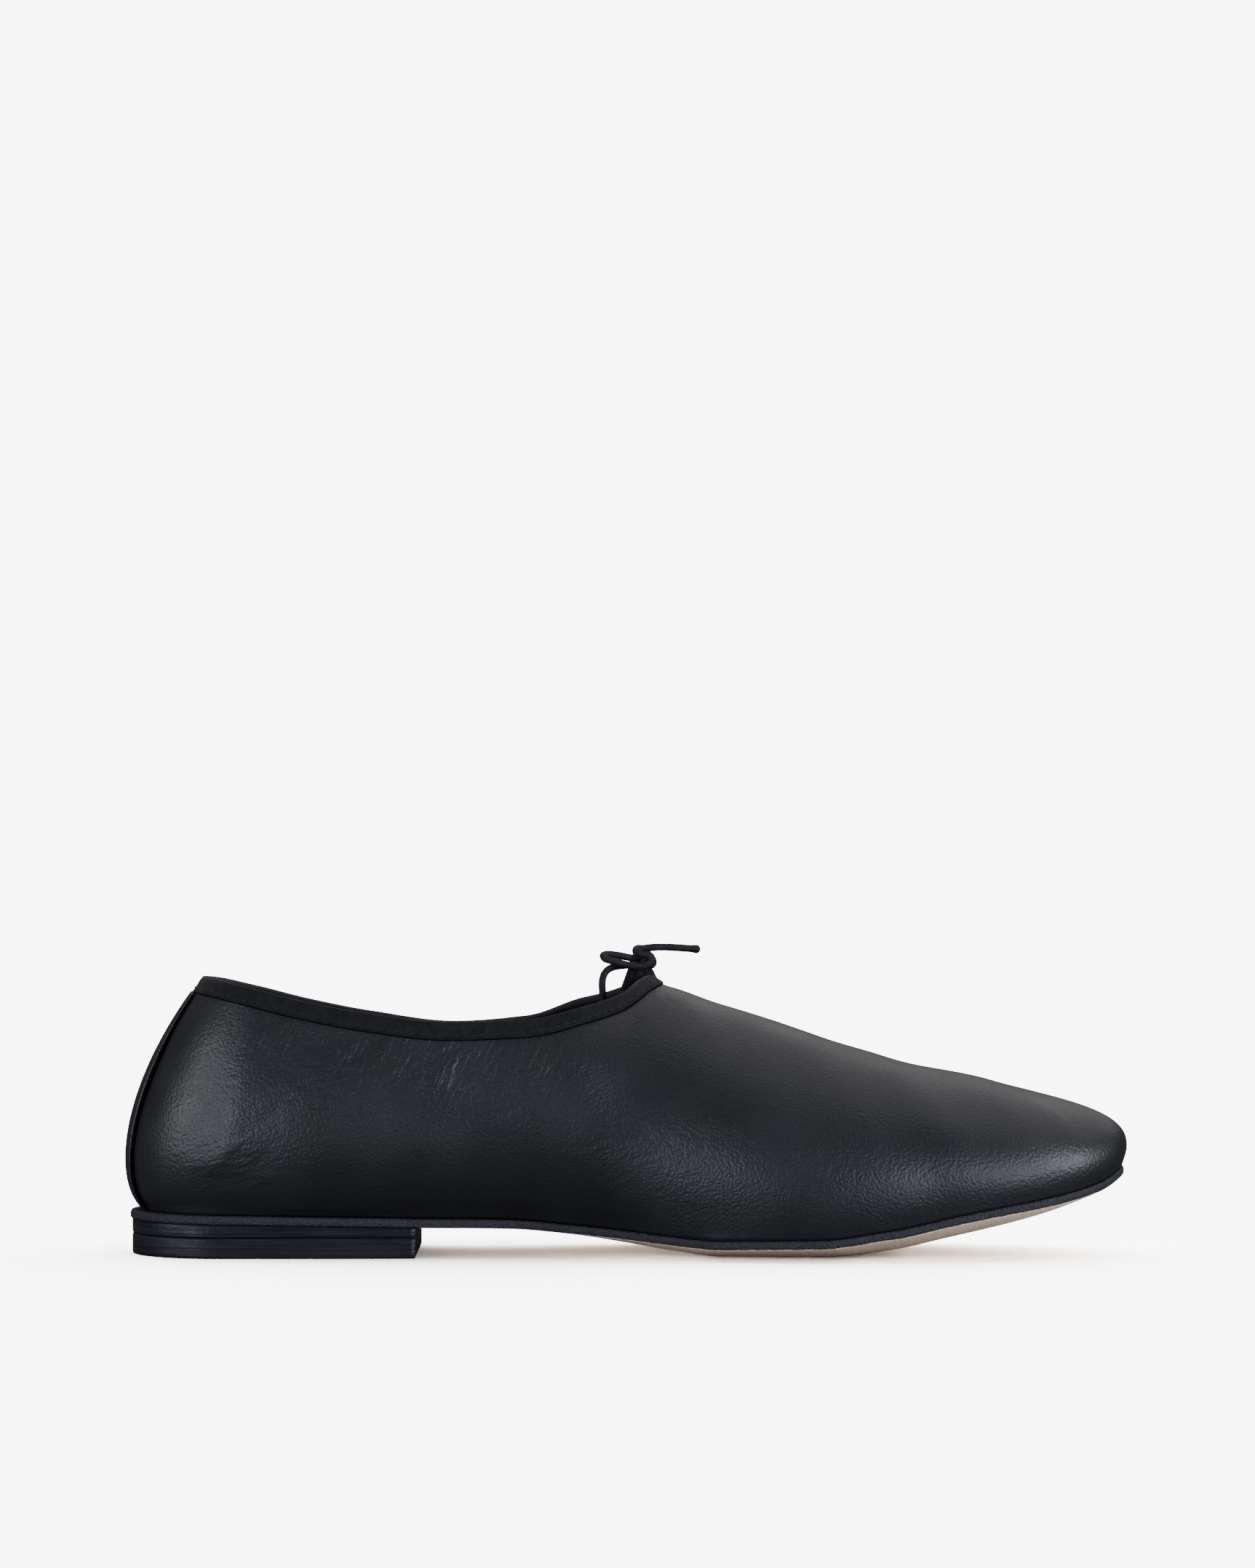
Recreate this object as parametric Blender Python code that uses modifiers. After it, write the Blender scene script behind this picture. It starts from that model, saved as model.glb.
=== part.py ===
"""Left ballet flat in black leather, in metres, +Z up, toe towards +X, inner side towards -Y.

The origin is on the floor, under the middle of the shoe. The leather is one surface of ribs:
each rib is a cubic curve that leaves the feather line above the sole's edge and ends at the
crest, which is the topline round the opening and the ridge of the vamp in front of it.
"""

import math

import bmesh
import bpy
import numpy as np
from mathutils import Vector
from mathutils.bvhtree import BVHTree

# Driving sizes, in metres and degrees.
SOLE_LENGTH = 0.2585
BALL_WIDTH = 0.0765
SOLE_THICKNESS = 0.0023
HEEL_HEIGHT = 0.0091
TOE_SPRING = 0.0208
SOLE_CUP = 0.0042
HEEL_LENGTH = 0.0750
HEEL_INSET = 0.0010
TOP_PIECE = 0.0053
FEATHER_INSET = 0.0040
COLLAR_RISE = 0.0603
WALL = 0.0015
INSOLE_THICKNESS = 0.0018
GAP = 0.0003
SEAT_GAP = 0.00045
LINING_GAP = 0.0007
BINDING_HEIGHT = 0.0044
BINDING_THICKNESS = 0.00045
BINDING_INSIDE = 0.0020
STRIP_THICKNESS = 0.0006
CORD_DIAMETER = 0.0016
KNOT_SIZE = (0.0056, 0.0050, 0.0052)

# Where the sole begins, how far its seat's middle line lies from the origin, and how the
# outline's two ends and the opening's two ends are rounded.
HEEL_END = -0.1295
SEAT_MIDDLE = 0.0014
HEEL_ROUND = 0.0240
TOE_ROUND = 0.0470
COLLAR_BACK_ROUND = 0.0170
THROAT_ROUND = 0.0220
FLAT_SHARE = 0.35
CUP_POWER = 1.8

# How finely each form is cut.
COLLAR_RIBS = 32
VAMP_RIBS = 18
RIB_STEPS = 14
SOLE_STATIONS = 40
SOLE_STEPS = 10
INSOLE_STEPS = 6
HEEL_STATIONS = 14
HEEL_STEPS = 4
SKIN_RIBS = 200
SKIN_STEPS = 60
STRIP_STEPS = 14
STRIP_COLUMNS = 4
CORD_SPACING = 0.9

# The back strip's half width, as a share of the way round, and how far up it starts.
STRIP_REACH = 0.020
STRIP_FOOT = 0.10

# Sole sections: share of SOLE_LENGTH from the heel, middle line and half width in shares of
# BALL_WIDTH, arch in shares of HEEL_HEIGHT, spring in shares of TOE_SPRING, cup in shares of
# SOLE_CUP, and how far in from the sole's edge the leather starts, in shares of FEATHER_INSET.
SOLE_COLUMNS = ("length", "middle", "half", "arch", "spring", "cup", "feather")
SOLE_ROWS = (
    (0.000, 0.000, 0.333, 1.000, 0.000, 0.00, 1.00),
    (0.060, 0.000, 0.333, 0.975, 0.000, 0.00, 0.70),
    (0.140, 0.000, 0.331, 0.940, 0.000, 0.00, 0.50),
    (0.290, 0.006, 0.324, 0.868, 0.000, 0.00, 0.50),
    (0.385, 0.034, 0.312, 0.800, 0.000, 0.04, 0.40),
    (0.443, 0.036, 0.333, 0.600, 0.000, 0.22, 0.35),
    (0.501, 0.023, 0.379, 0.350, 0.000, 0.46, 0.30),
    (0.545, 0.010, 0.425, 0.150, 0.000, 0.62, 0.30),
    (0.594, -0.004, 0.470, 0.000, 0.000, 0.74, 0.25),
    (0.694, -0.021, 0.500, 0.000, 0.000, 0.86, 0.25),
    (0.760, -0.034, 0.477, 0.000, 0.077, 1.04, 0.20),
    (0.818, -0.042, 0.444, 0.000, 0.230, 1.02, 0.20),
    (0.909, -0.050, 0.418, 0.000, 0.510, 1.00, 0.15),
    (0.969, -0.053, 0.402, 0.000, 0.790, 0.90, 0.12),
    (1.000, -0.055, 0.392, 0.000, 1.000, 0.70, 0.12),
)

# Ribs: station round the shoe from the back seam to the toe, foot and crest along SOLE_LENGTH,
# crest height over the sole in shares of COLLAR_RISE, how much lower the outer topline is,
# inner and outer half width of the opening and the ridge's offset in shares of BALL_WIDTH,
# lean of the wall at its foot on each side and climb at the crest in degrees, heading at the
# crest in degrees from +X, and the curve's two handles in shares of COLLAR_RISE.
RIB_COLUMNS = (
    "station", "foot", "crest", "height", "dip", "inner", "outer", "ridge",
    "lean_inner", "lean_outer", "climb", "heading", "rise", "shoulder",
)
RIB_ROWS = (
    (0.000, 0.000, 0.075, 1.000, 0.000, 0.288, 0.288, 0.000, 51, 51, 52, 0, 0.18, 0.57),
    (0.060, 0.028, 0.088, 0.997, 0.008, 0.293, 0.293, 0.000, 50, 50, 57, 38, 0.20, 0.53),
    (0.117, 0.078, 0.122, 0.970, 0.018, 0.303, 0.306, 0.000, 47, 46, 68, 68, 0.24, 0.46),
    (0.177, 0.145, 0.174, 0.920, 0.022, 0.320, 0.327, 0.000, 44, 42, 76, 84, 0.29, 0.40),
    (0.250, 0.230, 0.238, 0.872, 0.025, 0.342, 0.360, 0.000, 44, 38, 78, 88, 0.31, 0.37),
    (0.333, 0.327, 0.319, 0.839, 0.032, 0.353, 0.386, 0.000, 46, 36, 76, 90, 0.34, 0.36),
    (0.410, 0.416, 0.393, 0.856, 0.018, 0.340, 0.378, 0.000, 44, 35, 68, 90, 0.36, 0.35),
    (0.487, 0.501, 0.457, 0.946, -0.015, 0.290, 0.305, 0.000, 34, 30, 52, 90, 0.35, 0.33),
    (0.523, 0.540, 0.496, 1.025, -0.012, 0.262, 0.266, 0.000, 28, 26, 40, 90, 0.35, 0.33),
    (0.535, 0.554, 0.513, 1.090, -0.004, 0.249, 0.250, 0.000, 27, 25, 17, 90, 0.388, 0.343),
    (0.543, 0.563, 0.521, 1.112, 0.000, 0.245, 0.245, 0.000, 26, 25, 0, 90, 0.43, 0.38),
    (0.563, 0.586, 0.536, 1.092, 0.000, 0.200, 0.200, -0.002, 25, 24, 0, 90, 0.43, 0.38),
    (0.590, 0.617, 0.558, 1.076, 0.000, 0.200, 0.200, -0.005, 24, 24, 0, 90, 0.42, 0.39),
    (0.650, 0.687, 0.617, 1.006, 0.000, 0.200, 0.200, -0.014, 24, 24, 0, 92, 0.39, 0.40),
    (0.710, 0.756, 0.675, 0.925, 0.000, 0.200, 0.200, -0.024, 24, 24, 0, 95, 0.36, 0.41),
    (0.780, 0.834, 0.737, 0.826, 0.000, 0.200, 0.200, -0.034, 24, 24, 0, 104, 0.30, 0.42),
    (0.850, 0.907, 0.795, 0.715, 0.000, 0.200, 0.200, -0.043, 25, 25, 0, 124, 0.25, 0.42),
    (0.923, 0.965, 0.845, 0.626, 0.000, 0.200, 0.200, -0.050, 26, 26, 0, 150, 0.23, 0.40),
    (1.000, 1.000, 0.876, 0.560, 0.000, 0.200, 0.200, -0.055, 26, 26, 0, 180, 0.23, 0.39),
)
THROAT = 0.543
ARCH_FROM, ARCH_FULLY = 0.480, 0.520

# The bow, tied over the front of the opening: places along each cord, in metres, measured
# sideways from the seat's middle line.
KNOT_PLACE = (0.0048, -0.0006, 0.0752)
BOW_ROUTES = {
    "bow_loop_near": (
        (0.0016, -0.0010, 0.0768), (-0.0025, -0.0030, 0.0779), (-0.0055, -0.0052, 0.0780),
        (-0.0068, -0.0076, 0.0774), (-0.0050, -0.0092, 0.0765), (-0.0015, -0.0088, 0.0756),
        (0.0020, -0.0070, 0.0750), (0.0044, -0.0040, 0.0750),
    ),
    "bow_loop_far": (
        (0.0034, 0.0021, 0.0770), (0.0018, 0.0052, 0.0788), (0.0022, 0.0085, 0.0790),
        (0.0042, 0.0105, 0.0779), (0.0058, 0.0092, 0.0767), (0.0058, 0.0062, 0.0761),
        (0.0053, 0.0025, 0.0758),
    ),
    "bow_end_front": (
        (0.0043, -0.0010, 0.0788), (0.0072, -0.0016, 0.0794), (0.0104, -0.0024, 0.0795),
        (0.0141, -0.0032, 0.0794), (0.0165, -0.0037, 0.0791), (0.0188, -0.0041, 0.0789),
    ),
    "bow_end_inside": (
        (0.0014, -0.0016, 0.0750), (-0.0018, -0.0032, 0.0753), (-0.0044, -0.0046, 0.0746),
        (-0.0062, -0.0054, 0.0728), (-0.0068, -0.0058, 0.0702), (-0.0066, -0.0058, 0.0675),
        (-0.0064, -0.0055, 0.0645), (-0.0066, -0.0052, 0.0620),
    ),
}

INNER = -1
OUTER = 1


def table(rows, columns):
    """The rows as a dictionary of one array for each named column."""
    return dict(zip(columns, np.array(rows, float).T))


SOLE = table(SOLE_ROWS, SOLE_COLUMNS)
RIBS = table(RIB_ROWS, RIB_COLUMNS)


def smooth(at, xs, ys, flat_start=False, flat_end=False):
    """A smooth curve through (xs, ys) that never overshoots; a flat end has no slope."""
    at = np.clip(np.asarray(at, float), xs[0], xs[-1])
    steps, rises = np.diff(xs), np.diff(ys)
    secants = rises / steps
    before, after = secants[:-1], secants[1:]
    same = before * after > 0
    total = np.where(same, before + after, 1.0)
    inner = np.where(same, 2 * before * after / total, 0.0)
    first = 0.0 if flat_start else secants[0]
    last = 0.0 if flat_end else secants[-1]
    slopes = np.concatenate([[first], inner, [last]])
    i = np.clip(np.searchsorted(xs, at, side="right") - 1, 0, len(xs) - 2)
    h = steps[i]
    t = (at - xs[i]) / h
    return (
        (1 + 2 * t) * (1 - t) ** 2 * ys[i]
        + t * (1 - t) ** 2 * h * slopes[i]
        + t**2 * (3 - 2 * t) * ys[i + 1]
        + t**2 * (t - 1) * h * slopes[i + 1]
    )


def sole_value(name, share):
    return smooth(share, SOLE["length"], SOLE[name])


def rib_value(name, station, flat_start=True, flat_end=True):
    return smooth(station, RIBS["station"], RIBS[name], flat_start, flat_end)


def rounded(distance, reach):
    """From 0 at an end to 1 at reach from it, along a quarter of an ellipse."""
    left = np.clip(1 - distance / reach, 0, 1)
    return np.sqrt(1 - left**2)


def along(share):
    return HEEL_END + share * SOLE_LENGTH


def middle_line(share):
    return SEAT_MIDDLE + sole_value("middle", share) * BALL_WIDTH


def edge(share, side):
    """Points of the sole's outline on one side, round at the heel and at the toe."""
    share = np.clip(share, 0, 1)
    ends = rounded(share * SOLE_LENGTH, HEEL_ROUND) * rounded((1 - share) * SOLE_LENGTH, TOE_ROUND)
    half = sole_value("half", share) * ends
    return np.stack([along(share), middle_line(share) + side * half * BALL_WIDTH], -1)


def outward(share, side):
    """The outline's unit normal in plan, pointing out of the sole."""
    small = 1e-4
    share = np.clip(share, 0, 1)
    low, high = np.maximum(share - small, 0), np.minimum(share + small, 1)
    run = edge(high, side) - edge(low, side)
    normal = np.stack([-side * run[..., 1], side * run[..., 0]], -1)
    at_heel, at_toe = (share < small)[..., None], (share > 1 - small)[..., None]
    normal = np.where(at_heel, [-1.0, 0.0], np.where(at_toe, [1.0, 0.0], normal))
    return normal / np.linalg.norm(normal, axis=-1, keepdims=True)


def inset_edge(share, side, inset):
    return edge(share, side) - outward(share, side) * np.asarray(inset)[..., None]


def sole_bottom(x, y):
    """Height of the sole's underside: arch and toe spring, with the forefoot's edges cupped up."""
    share = (x - HEEL_END) / SOLE_LENGTH
    middle = sole_value("arch", share) * HEEL_HEIGHT + sole_value("spring", share) * TOE_SPRING
    half = sole_value("half", share) * BALL_WIDTH
    across = np.abs(y - middle_line(share)) / half
    lift = np.clip((across - FLAT_SHARE) / (1 - FLAT_SHARE), 0, None) ** CUP_POWER
    return middle + sole_value("cup", share) * SOLE_CUP * lift


def sole_top(x, y):
    return sole_bottom(x, y) + SOLE_THICKNESS


def crest(station, side):
    """The rib's upper end: the topline behind the throat, the vamp's ridge in front of it."""
    share = rib_value("crest", station, flat_end=False)
    x = along(share)
    from_back = x - along(RIBS["crest"][0])
    from_throat = along(rib_value("crest", THROAT, flat_end=False)) - x
    half = rib_value("inner" if side == INNER else "outer", station)
    half = half * rounded(from_back, COLLAR_BACK_ROUND) * rounded(from_throat, THROAT_ROUND)
    half = np.where(station < THROAT, half, 0)
    y = SEAT_MIDDLE + (rib_value("ridge", station) + side * half) * BALL_WIDTH
    height = rib_value("height", station, flat_end=False)
    height = height - (rib_value("dip", station) if side == OUTER else 0)
    return np.stack([x, y, sole_top(x, middle_line(share)) + height * COLLAR_RISE], -1)


def ridge_slope(station):
    """Fall of the vamp's ridge for each metre towards the toe, 0 round the opening."""
    small = 0.004
    low = crest(np.clip(station - small, THROAT, 1), INNER)
    high = crest(np.clip(station + small, THROAT, 1), INNER)
    run = np.where(station > THROAT, high[..., 0] - low[..., 0], 1.0)
    return np.where(station > THROAT, (high[..., 2] - low[..., 2]) / run, 0.0)


def throat_arch(half, side):
    """Rise, shoulder and climb of the throat's own arch, cut off at this half width."""
    up = np.linspace(0.35, 1, 261)
    station = np.array(THROAT)
    foot = edge(rib_value("foot", station), side)
    lean = math.radians(rib_value("lean_inner" if side == INNER else "lean_outer", station))
    rise, shoulder = rib_value("rise", station), rib_value("shoulder", station)
    top = crest(station, side)[2]
    start = np.array([abs(foot[1] - SEAT_MIDDLE), sole_top(*foot)])
    low = start + rise * COLLAR_RISE * np.array([math.sin(lean), math.cos(lean)])
    high = np.array([shoulder * COLLAR_RISE, top])
    end = np.array([0, top])
    t, r = up[:, None], 1 - up[:, None]
    arch = start * r**3 + 3 * low * r**2 * t + 3 * high * r * t**2 + end * t**3
    speed = 3 * ((low - start) * r**2 + 2 * (high - low) * r * t + (end - high) * t**2)
    cut = np.interp(half, arch[::-1, 0], up[::-1])
    across, upward = (np.interp(cut, up, speed[:, k]) for k in range(2))
    length = cut * np.hypot(across, upward) / (3 * COLLAR_RISE)
    return rise * cut, length, np.degrees(np.arctan2(upward, -across))


def leather(station, up, side):
    """Points of the leather's outer face; up runs from 0 at the feather line to 1 at the crest."""
    foot_share = rib_value("foot", station)
    inset = sole_value("feather", foot_share) * FEATHER_INSET
    plan = inset_edge(foot_share, side, inset)
    seat = sole_top(plan[..., 0], plan[..., 1]) + SEAT_GAP
    foot = np.concatenate([plan, seat[..., None]], -1)
    lean = np.radians(rib_value("lean_inner" if side == INNER else "lean_outer", station))
    out = outward(foot_share, side)
    rising = np.concatenate([out * np.sin(lean)[..., None], np.cos(lean)[..., None]], -1)
    top = crest(station, side)
    rise, shoulder = rib_value("rise", station), rib_value("shoulder", station)
    climb = rib_value("climb", station)
    arch_rise, arch_shoulder, arch_climb = throat_arch(np.abs(top[..., 1] - SEAT_MIDDLE), side)
    near = np.clip((station - ARCH_FROM) / (ARCH_FULLY - ARCH_FROM), 0, 1)
    near = np.where(station < THROAT, near * near * (3 - 2 * near), 0)
    rise = rise + (arch_rise - rise) * near
    shoulder = shoulder + (arch_shoulder - shoulder) * near
    climb = climb + (arch_climb - climb) * near
    heading = np.radians(rib_value("heading", station, False, False))
    lift = np.tan(np.radians(climb)) + ridge_slope(station) * np.cos(heading)
    arrival = np.stack([np.cos(heading), -side * np.sin(heading), lift], -1)
    arrival = arrival / np.linalg.norm(arrival, axis=-1, keepdims=True)
    low = foot + rising * (rise * COLLAR_RISE)[..., None]
    high = top - arrival * (shoulder * COLLAR_RISE)[..., None]
    up = np.asarray(up, float)[..., None]
    down = 1 - up
    return foot * down**3 + 3 * low * down**2 * up + 3 * high * down * up**2 + top * up**3


def collar_stations(count):
    """Stations from the back seam to the throat, evenly shared by the runs and the turns."""
    fine = np.linspace(0, THROAT, 60 * count + 1)
    top = crest(fine, INNER)[:, :2]
    foot = edge(rib_value("foot", fine), INNER)
    steps = np.diff(top, axis=0)
    turns = np.abs(np.diff(np.unwrap(np.arctan2(steps[:, 1], steps[:, 0]))))
    amounts = (
        np.linalg.norm(steps, axis=1),
        np.linalg.norm(np.diff(foot, axis=0), axis=1),
        np.append(turns, 0),
    )
    share = sum(np.concatenate([[0], np.cumsum(each)]) / each.sum() for each in amounts)
    return np.interp(np.linspace(0, len(amounts), count + 1), share, fine)


def rib_stations():
    """Stations from the back seam to the throat, and on to the toe."""
    front = np.linspace(THROAT, 1, VAMP_RIBS + 1)[1:]
    return np.concatenate([collar_stations(COLLAR_RIBS), front])


def rib_steps():
    """Places up a rib, closer together towards the crest."""
    return 1 - (1 - np.linspace(0, 1, RIB_STEPS + 1)) ** 1.4


def material(name, colour, roughness, sheen=0.0):
    made = bpy.data.materials.new(name)
    made.use_nodes = True
    shader = made.node_tree.nodes["Principled BSDF"]
    shader.inputs["Base Color"].default_value = (*colour, 1)
    shader.inputs["Roughness"].default_value = roughness
    shader.inputs["Sheen Weight"].default_value = sheen
    return made


def add_object(name, mesh, finish):
    made = bpy.data.objects.new(name, mesh)
    made.data.materials.append(finish)
    parts.objects.link(made)
    return made


def add_mesh(name, points, faces, finish, weld=1e-6):
    """A mesh object from points and faces, with doubled points welded and normals turned out."""
    mesh = bpy.data.meshes.new(name)
    mesh.from_pydata([tuple(p) for p in points], [], [tuple(f) for f in faces])
    shape = bmesh.new()
    shape.from_mesh(mesh)
    bmesh.ops.remove_doubles(shape, verts=shape.verts, dist=weld)
    bmesh.ops.recalc_face_normals(shape, faces=shape.faces)
    shape.to_mesh(mesh)
    shape.free()
    mesh.shade_smooth()
    return add_object(name, mesh, finish)


def grid_faces(rows, columns, start=0, wrap=False):
    """Quads of a rows by columns grid of points that begins at index start."""
    i, j = np.meshgrid(np.arange(rows - (not wrap)), np.arange(columns - 1), indexing="ij")
    a = start + i * columns + j
    b = start + (i + 1) % rows * columns + j
    return np.stack([a, b, b + 1, a + 1], -1).reshape(-1, 4)


def slab(name, shares, inset, low, high, steps, finish):
    """A plate inside the sole's outline, between the height functions low and high."""
    inner = inset_edge(shares, INNER, inset)
    outer = inset_edge(shares, OUTER, inset)
    across = (1 - np.cos(np.linspace(0, math.pi, steps + 1)))[None, :, None] / 2
    plan = inner[:, None] * (1 - across) + outer[:, None] * across
    x, y = plan[..., 0], plan[..., 1]
    under = np.stack([x, y, low(x, y)], -1).reshape(-1, 3)
    over = np.stack([x, y, high(x, y)], -1).reshape(-1, 3)
    rows, columns = x.shape
    below = grid_faces(rows, columns)
    above = below[:, ::-1] + len(under)
    index = np.arange(rows * columns).reshape(rows, columns)
    loop = np.concatenate([index[0], index[1:, -1], index[-1, -2::-1], index[-2:0:-1, 0]])
    following = np.roll(loop, -1)
    wall = np.stack([loop, following, following + len(under), loop + len(under)], -1)
    faces = np.concatenate([below, above, wall])
    return add_mesh(name, np.concatenate([under, over]), faces, finish)


def whole_length():
    return (1 - np.cos(np.linspace(0, math.pi, SOLE_STATIONS + 1))) / 2


def heel_stations(end):
    return end * (1 - np.cos(np.linspace(0, math.pi / 2, HEEL_STATIONS + 1)))


def make_upper(finish):
    """The leather of both sides as one open surface, given its wall by Solidify."""
    stations = rib_stations()
    up = rib_steps()
    near = leather(stations[:, None], up[None, :], INNER)
    far = leather(stations[:, None], up[None, :], OUTER)
    around = np.concatenate([near, far[-2:0:-1]])
    rows, columns = around.shape[:2]
    faces = grid_faces(rows, columns, wrap=True)
    upper = add_mesh("upper", around.reshape(-1, 3), faces, finish, weld=1e-5)
    wall = upper.modifiers.new("wall", "SOLIDIFY")
    wall.thickness = WALL
    wall.offset = -1
    return upper


def leather_skin():
    """The leather's outer face as a search tree, fine enough to lay other pieces on."""
    stations = np.linspace(0, 1, SKIN_RIBS + 1)
    up = np.linspace(0, 1, SKIN_STEPS + 1)
    near = leather(stations[:, None], up[None, :], INNER)
    far = leather(stations[:, None], up[None, :], OUTER)
    around = np.concatenate([near, far[-2:0:-1]])
    rows, columns = around.shape[:2]
    faces = grid_faces(rows, columns, wrap=True)
    return BVHTree.FromPolygons(around.reshape(-1, 3).tolist(), faces.tolist())


def laid(skin, point, middle):
    """The nearest point of the leather and its normal, turned away from the shoe's middle."""
    place, normal, _, _ = skin.find_nearest(Vector(point))
    place, normal = np.array(place), np.array(normal)
    return place, normal if normal @ (place - middle) > 0 else -normal


def make_binding(upper, skin, finish):
    """A ribbon folded over the topline: a thin inverted U carried round the opening."""
    edge_points = upper.data.vertices
    stations = collar_stations(COLLAR_RIBS)
    near, far = crest(stations, INNER), crest(stations, OUTER)
    loop = np.concatenate([near, far[-2:0:-1]])
    tangents = np.roll(loop, -1, 0) - np.roll(loop, 1, 0)
    tangents /= np.linalg.norm(tangents, axis=1, keepdims=True)
    centre = loop.mean(0) - [0, 0, COLLAR_RISE / 2]
    outer, inner = GAP + BINDING_THICKNESS, -(WALL + LINING_GAP + BINDING_THICKNESS)
    fold = GAP + BINDING_THICKNESS
    rings = []
    for point, tangent in zip(loop, tangents):
        nearest = min(edge_points, key=lambda vertex: (vertex.co - Vector(point)).length)
        normal = np.array(nearest.normal)
        normal = normal if normal @ (point - centre) > 0 else -normal
        down = np.cross(tangent, normal)
        down *= -np.sign(down[2]) / np.linalg.norm(down)
        face, back = (
            [laid(skin, point + down * reach * leg, centre) for leg in (1.0, 0.5)]
            + [(point, normal)]
            for reach in (BINDING_HEIGHT, BINDING_INSIDE)
        )
        ring = [place + turned * outer for place, turned in face]
        ring += [point - down * fold, point - down * fold - normal * WALL]
        ring += [place + turned * inner for place, turned in back[::-1]]
        ring += [place - turned * (WALL + LINING_GAP) for place, turned in back]
        ring += [point - down * GAP - normal * WALL, point - down * GAP]
        ring += [place + turned * GAP for place, turned in face[::-1]]
        rings.append(ring)
    points = np.array(rings)
    rows, columns = points.shape[:2]
    faces = grid_faces(rows, columns, wrap=True)
    i = np.arange(rows)
    after = (i + 1) % rows
    close = np.stack(
        [i * columns + columns - 1, after * columns + columns - 1, after * columns, i * columns], -1
    )
    return add_mesh("collar_binding", points.reshape(-1, 3), np.concatenate([faces, close]), finish)


def make_back_strip(skin, finish):
    """A raised strip down the back seam, from under the binding to the feather line."""
    lap = (BINDING_HEIGHT + 2 * GAP) / (3 * RIBS["shoulder"][0] * COLLAR_RISE)
    up = np.linspace(STRIP_FOOT, 1 - lap, STRIP_STEPS + 1)
    reach = np.linspace(-STRIP_REACH, STRIP_REACH, STRIP_COLUMNS + 1)
    centre = np.array([along(RIBS["crest"][-1]), SEAT_MIDDLE, COLLAR_RISE / 2])
    columns = []
    for station in reach:
        side = INNER if station < 0 else OUTER
        line = leather(np.abs(station), up, side)
        places = [laid(skin, point, centre) for point in line]
        columns.append([place + normal * (GAP + STRIP_THICKNESS) for place, normal in places])
    points = np.array(columns)
    faces = grid_faces(*points.shape[:2])
    strip = add_mesh("back_strip", points.reshape(-1, 3), faces, finish)
    outside = strip.data.polygons[0].normal @ Vector((-1, 0, 0)) > 0
    wall = strip.modifiers.new("thickness", "SOLIDIFY")
    wall.thickness = STRIP_THICKNESS
    wall.offset = -1 if outside else 1
    return strip


def through(route, spacing):
    """Points a spacing apart on a smooth curve through the route's own points."""
    route = np.array(route, float)
    padded = np.concatenate([[2 * route[0] - route[1]], route, [2 * route[-1] - route[-2]]])
    t = np.linspace(0, 1, 24, endpoint=False)[:, None]
    pieces = []
    for a, b, c, d in zip(padded, padded[1:], padded[2:], padded[3:]):
        pieces.append(
            0.5 * (2 * b + (c - a) * t + (2 * a - 5 * b + 4 * c - d) * t**2
                   + (3 * b - a - 3 * c + d) * t**3)
        )
    fine = np.concatenate(pieces + [route[-1:]])
    run = np.concatenate([[0], np.cumsum(np.linalg.norm(np.diff(fine, axis=0), axis=1))])
    count = max(3, round(run[-1] / spacing) + 1)
    at = np.linspace(0, run[-1], count)
    return np.stack([np.interp(at, run, fine[:, k]) for k in range(3)], -1)


def make_tube(name, route, finish):
    points = through(route, CORD_SPACING * CORD_DIAMETER) + [0, SEAT_MIDDLE, 0]
    curve = bpy.data.curves.new(name, "CURVE")
    curve.dimensions = "3D"
    curve.bevel_depth = CORD_DIAMETER / 2
    curve.bevel_resolution = 2
    curve.use_fill_caps = True
    spline = curve.splines.new("POLY")
    spline.points.add(len(points) - 1)
    spline.points.foreach_set("co", np.insert(points, 3, 1.0, axis=1).ravel())
    return add_object(name, curve, finish)


def make_knot(place, finish):
    """The bow's knot: a ball of cord over the front of the opening."""
    shape = bmesh.new()
    bmesh.ops.create_uvsphere(shape, u_segments=14, v_segments=9, radius=0.5)
    bmesh.ops.scale(shape, vec=KNOT_SIZE, verts=shape.verts)
    mesh = bpy.data.meshes.new("bow_knot")
    shape.to_mesh(mesh)
    shape.free()
    mesh.shade_smooth()
    knot = add_object("bow_knot", mesh, finish)
    knot.location = (place[0], place[1] + SEAT_MIDDLE, place[2])
    return knot


for old in list(bpy.data.objects):
    bpy.data.objects.remove(old)

parts = bpy.data.collections.new("ballet_flat")
bpy.context.scene.collection.children.link(parts)

black_leather = material("black_leather", (0.012, 0.012, 0.014), 0.45)
sole_leather = material("sole_leather", (0.55, 0.40, 0.28), 0.6)
heel_leather = material("heel_leather", (0.01, 0.01, 0.012), 0.35)
heel_rubber = material("heel_rubber", (0.012, 0.012, 0.013), 0.55)
lining = material("lining_leather", (0.02, 0.02, 0.021), 0.6)
ribbon = material("ribbon", (0.006, 0.006, 0.007), 0.7)
cord = material("cord", (0.006, 0.006, 0.007), 0.65)

heel_share = HEEL_LENGTH / SOLE_LENGTH

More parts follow.
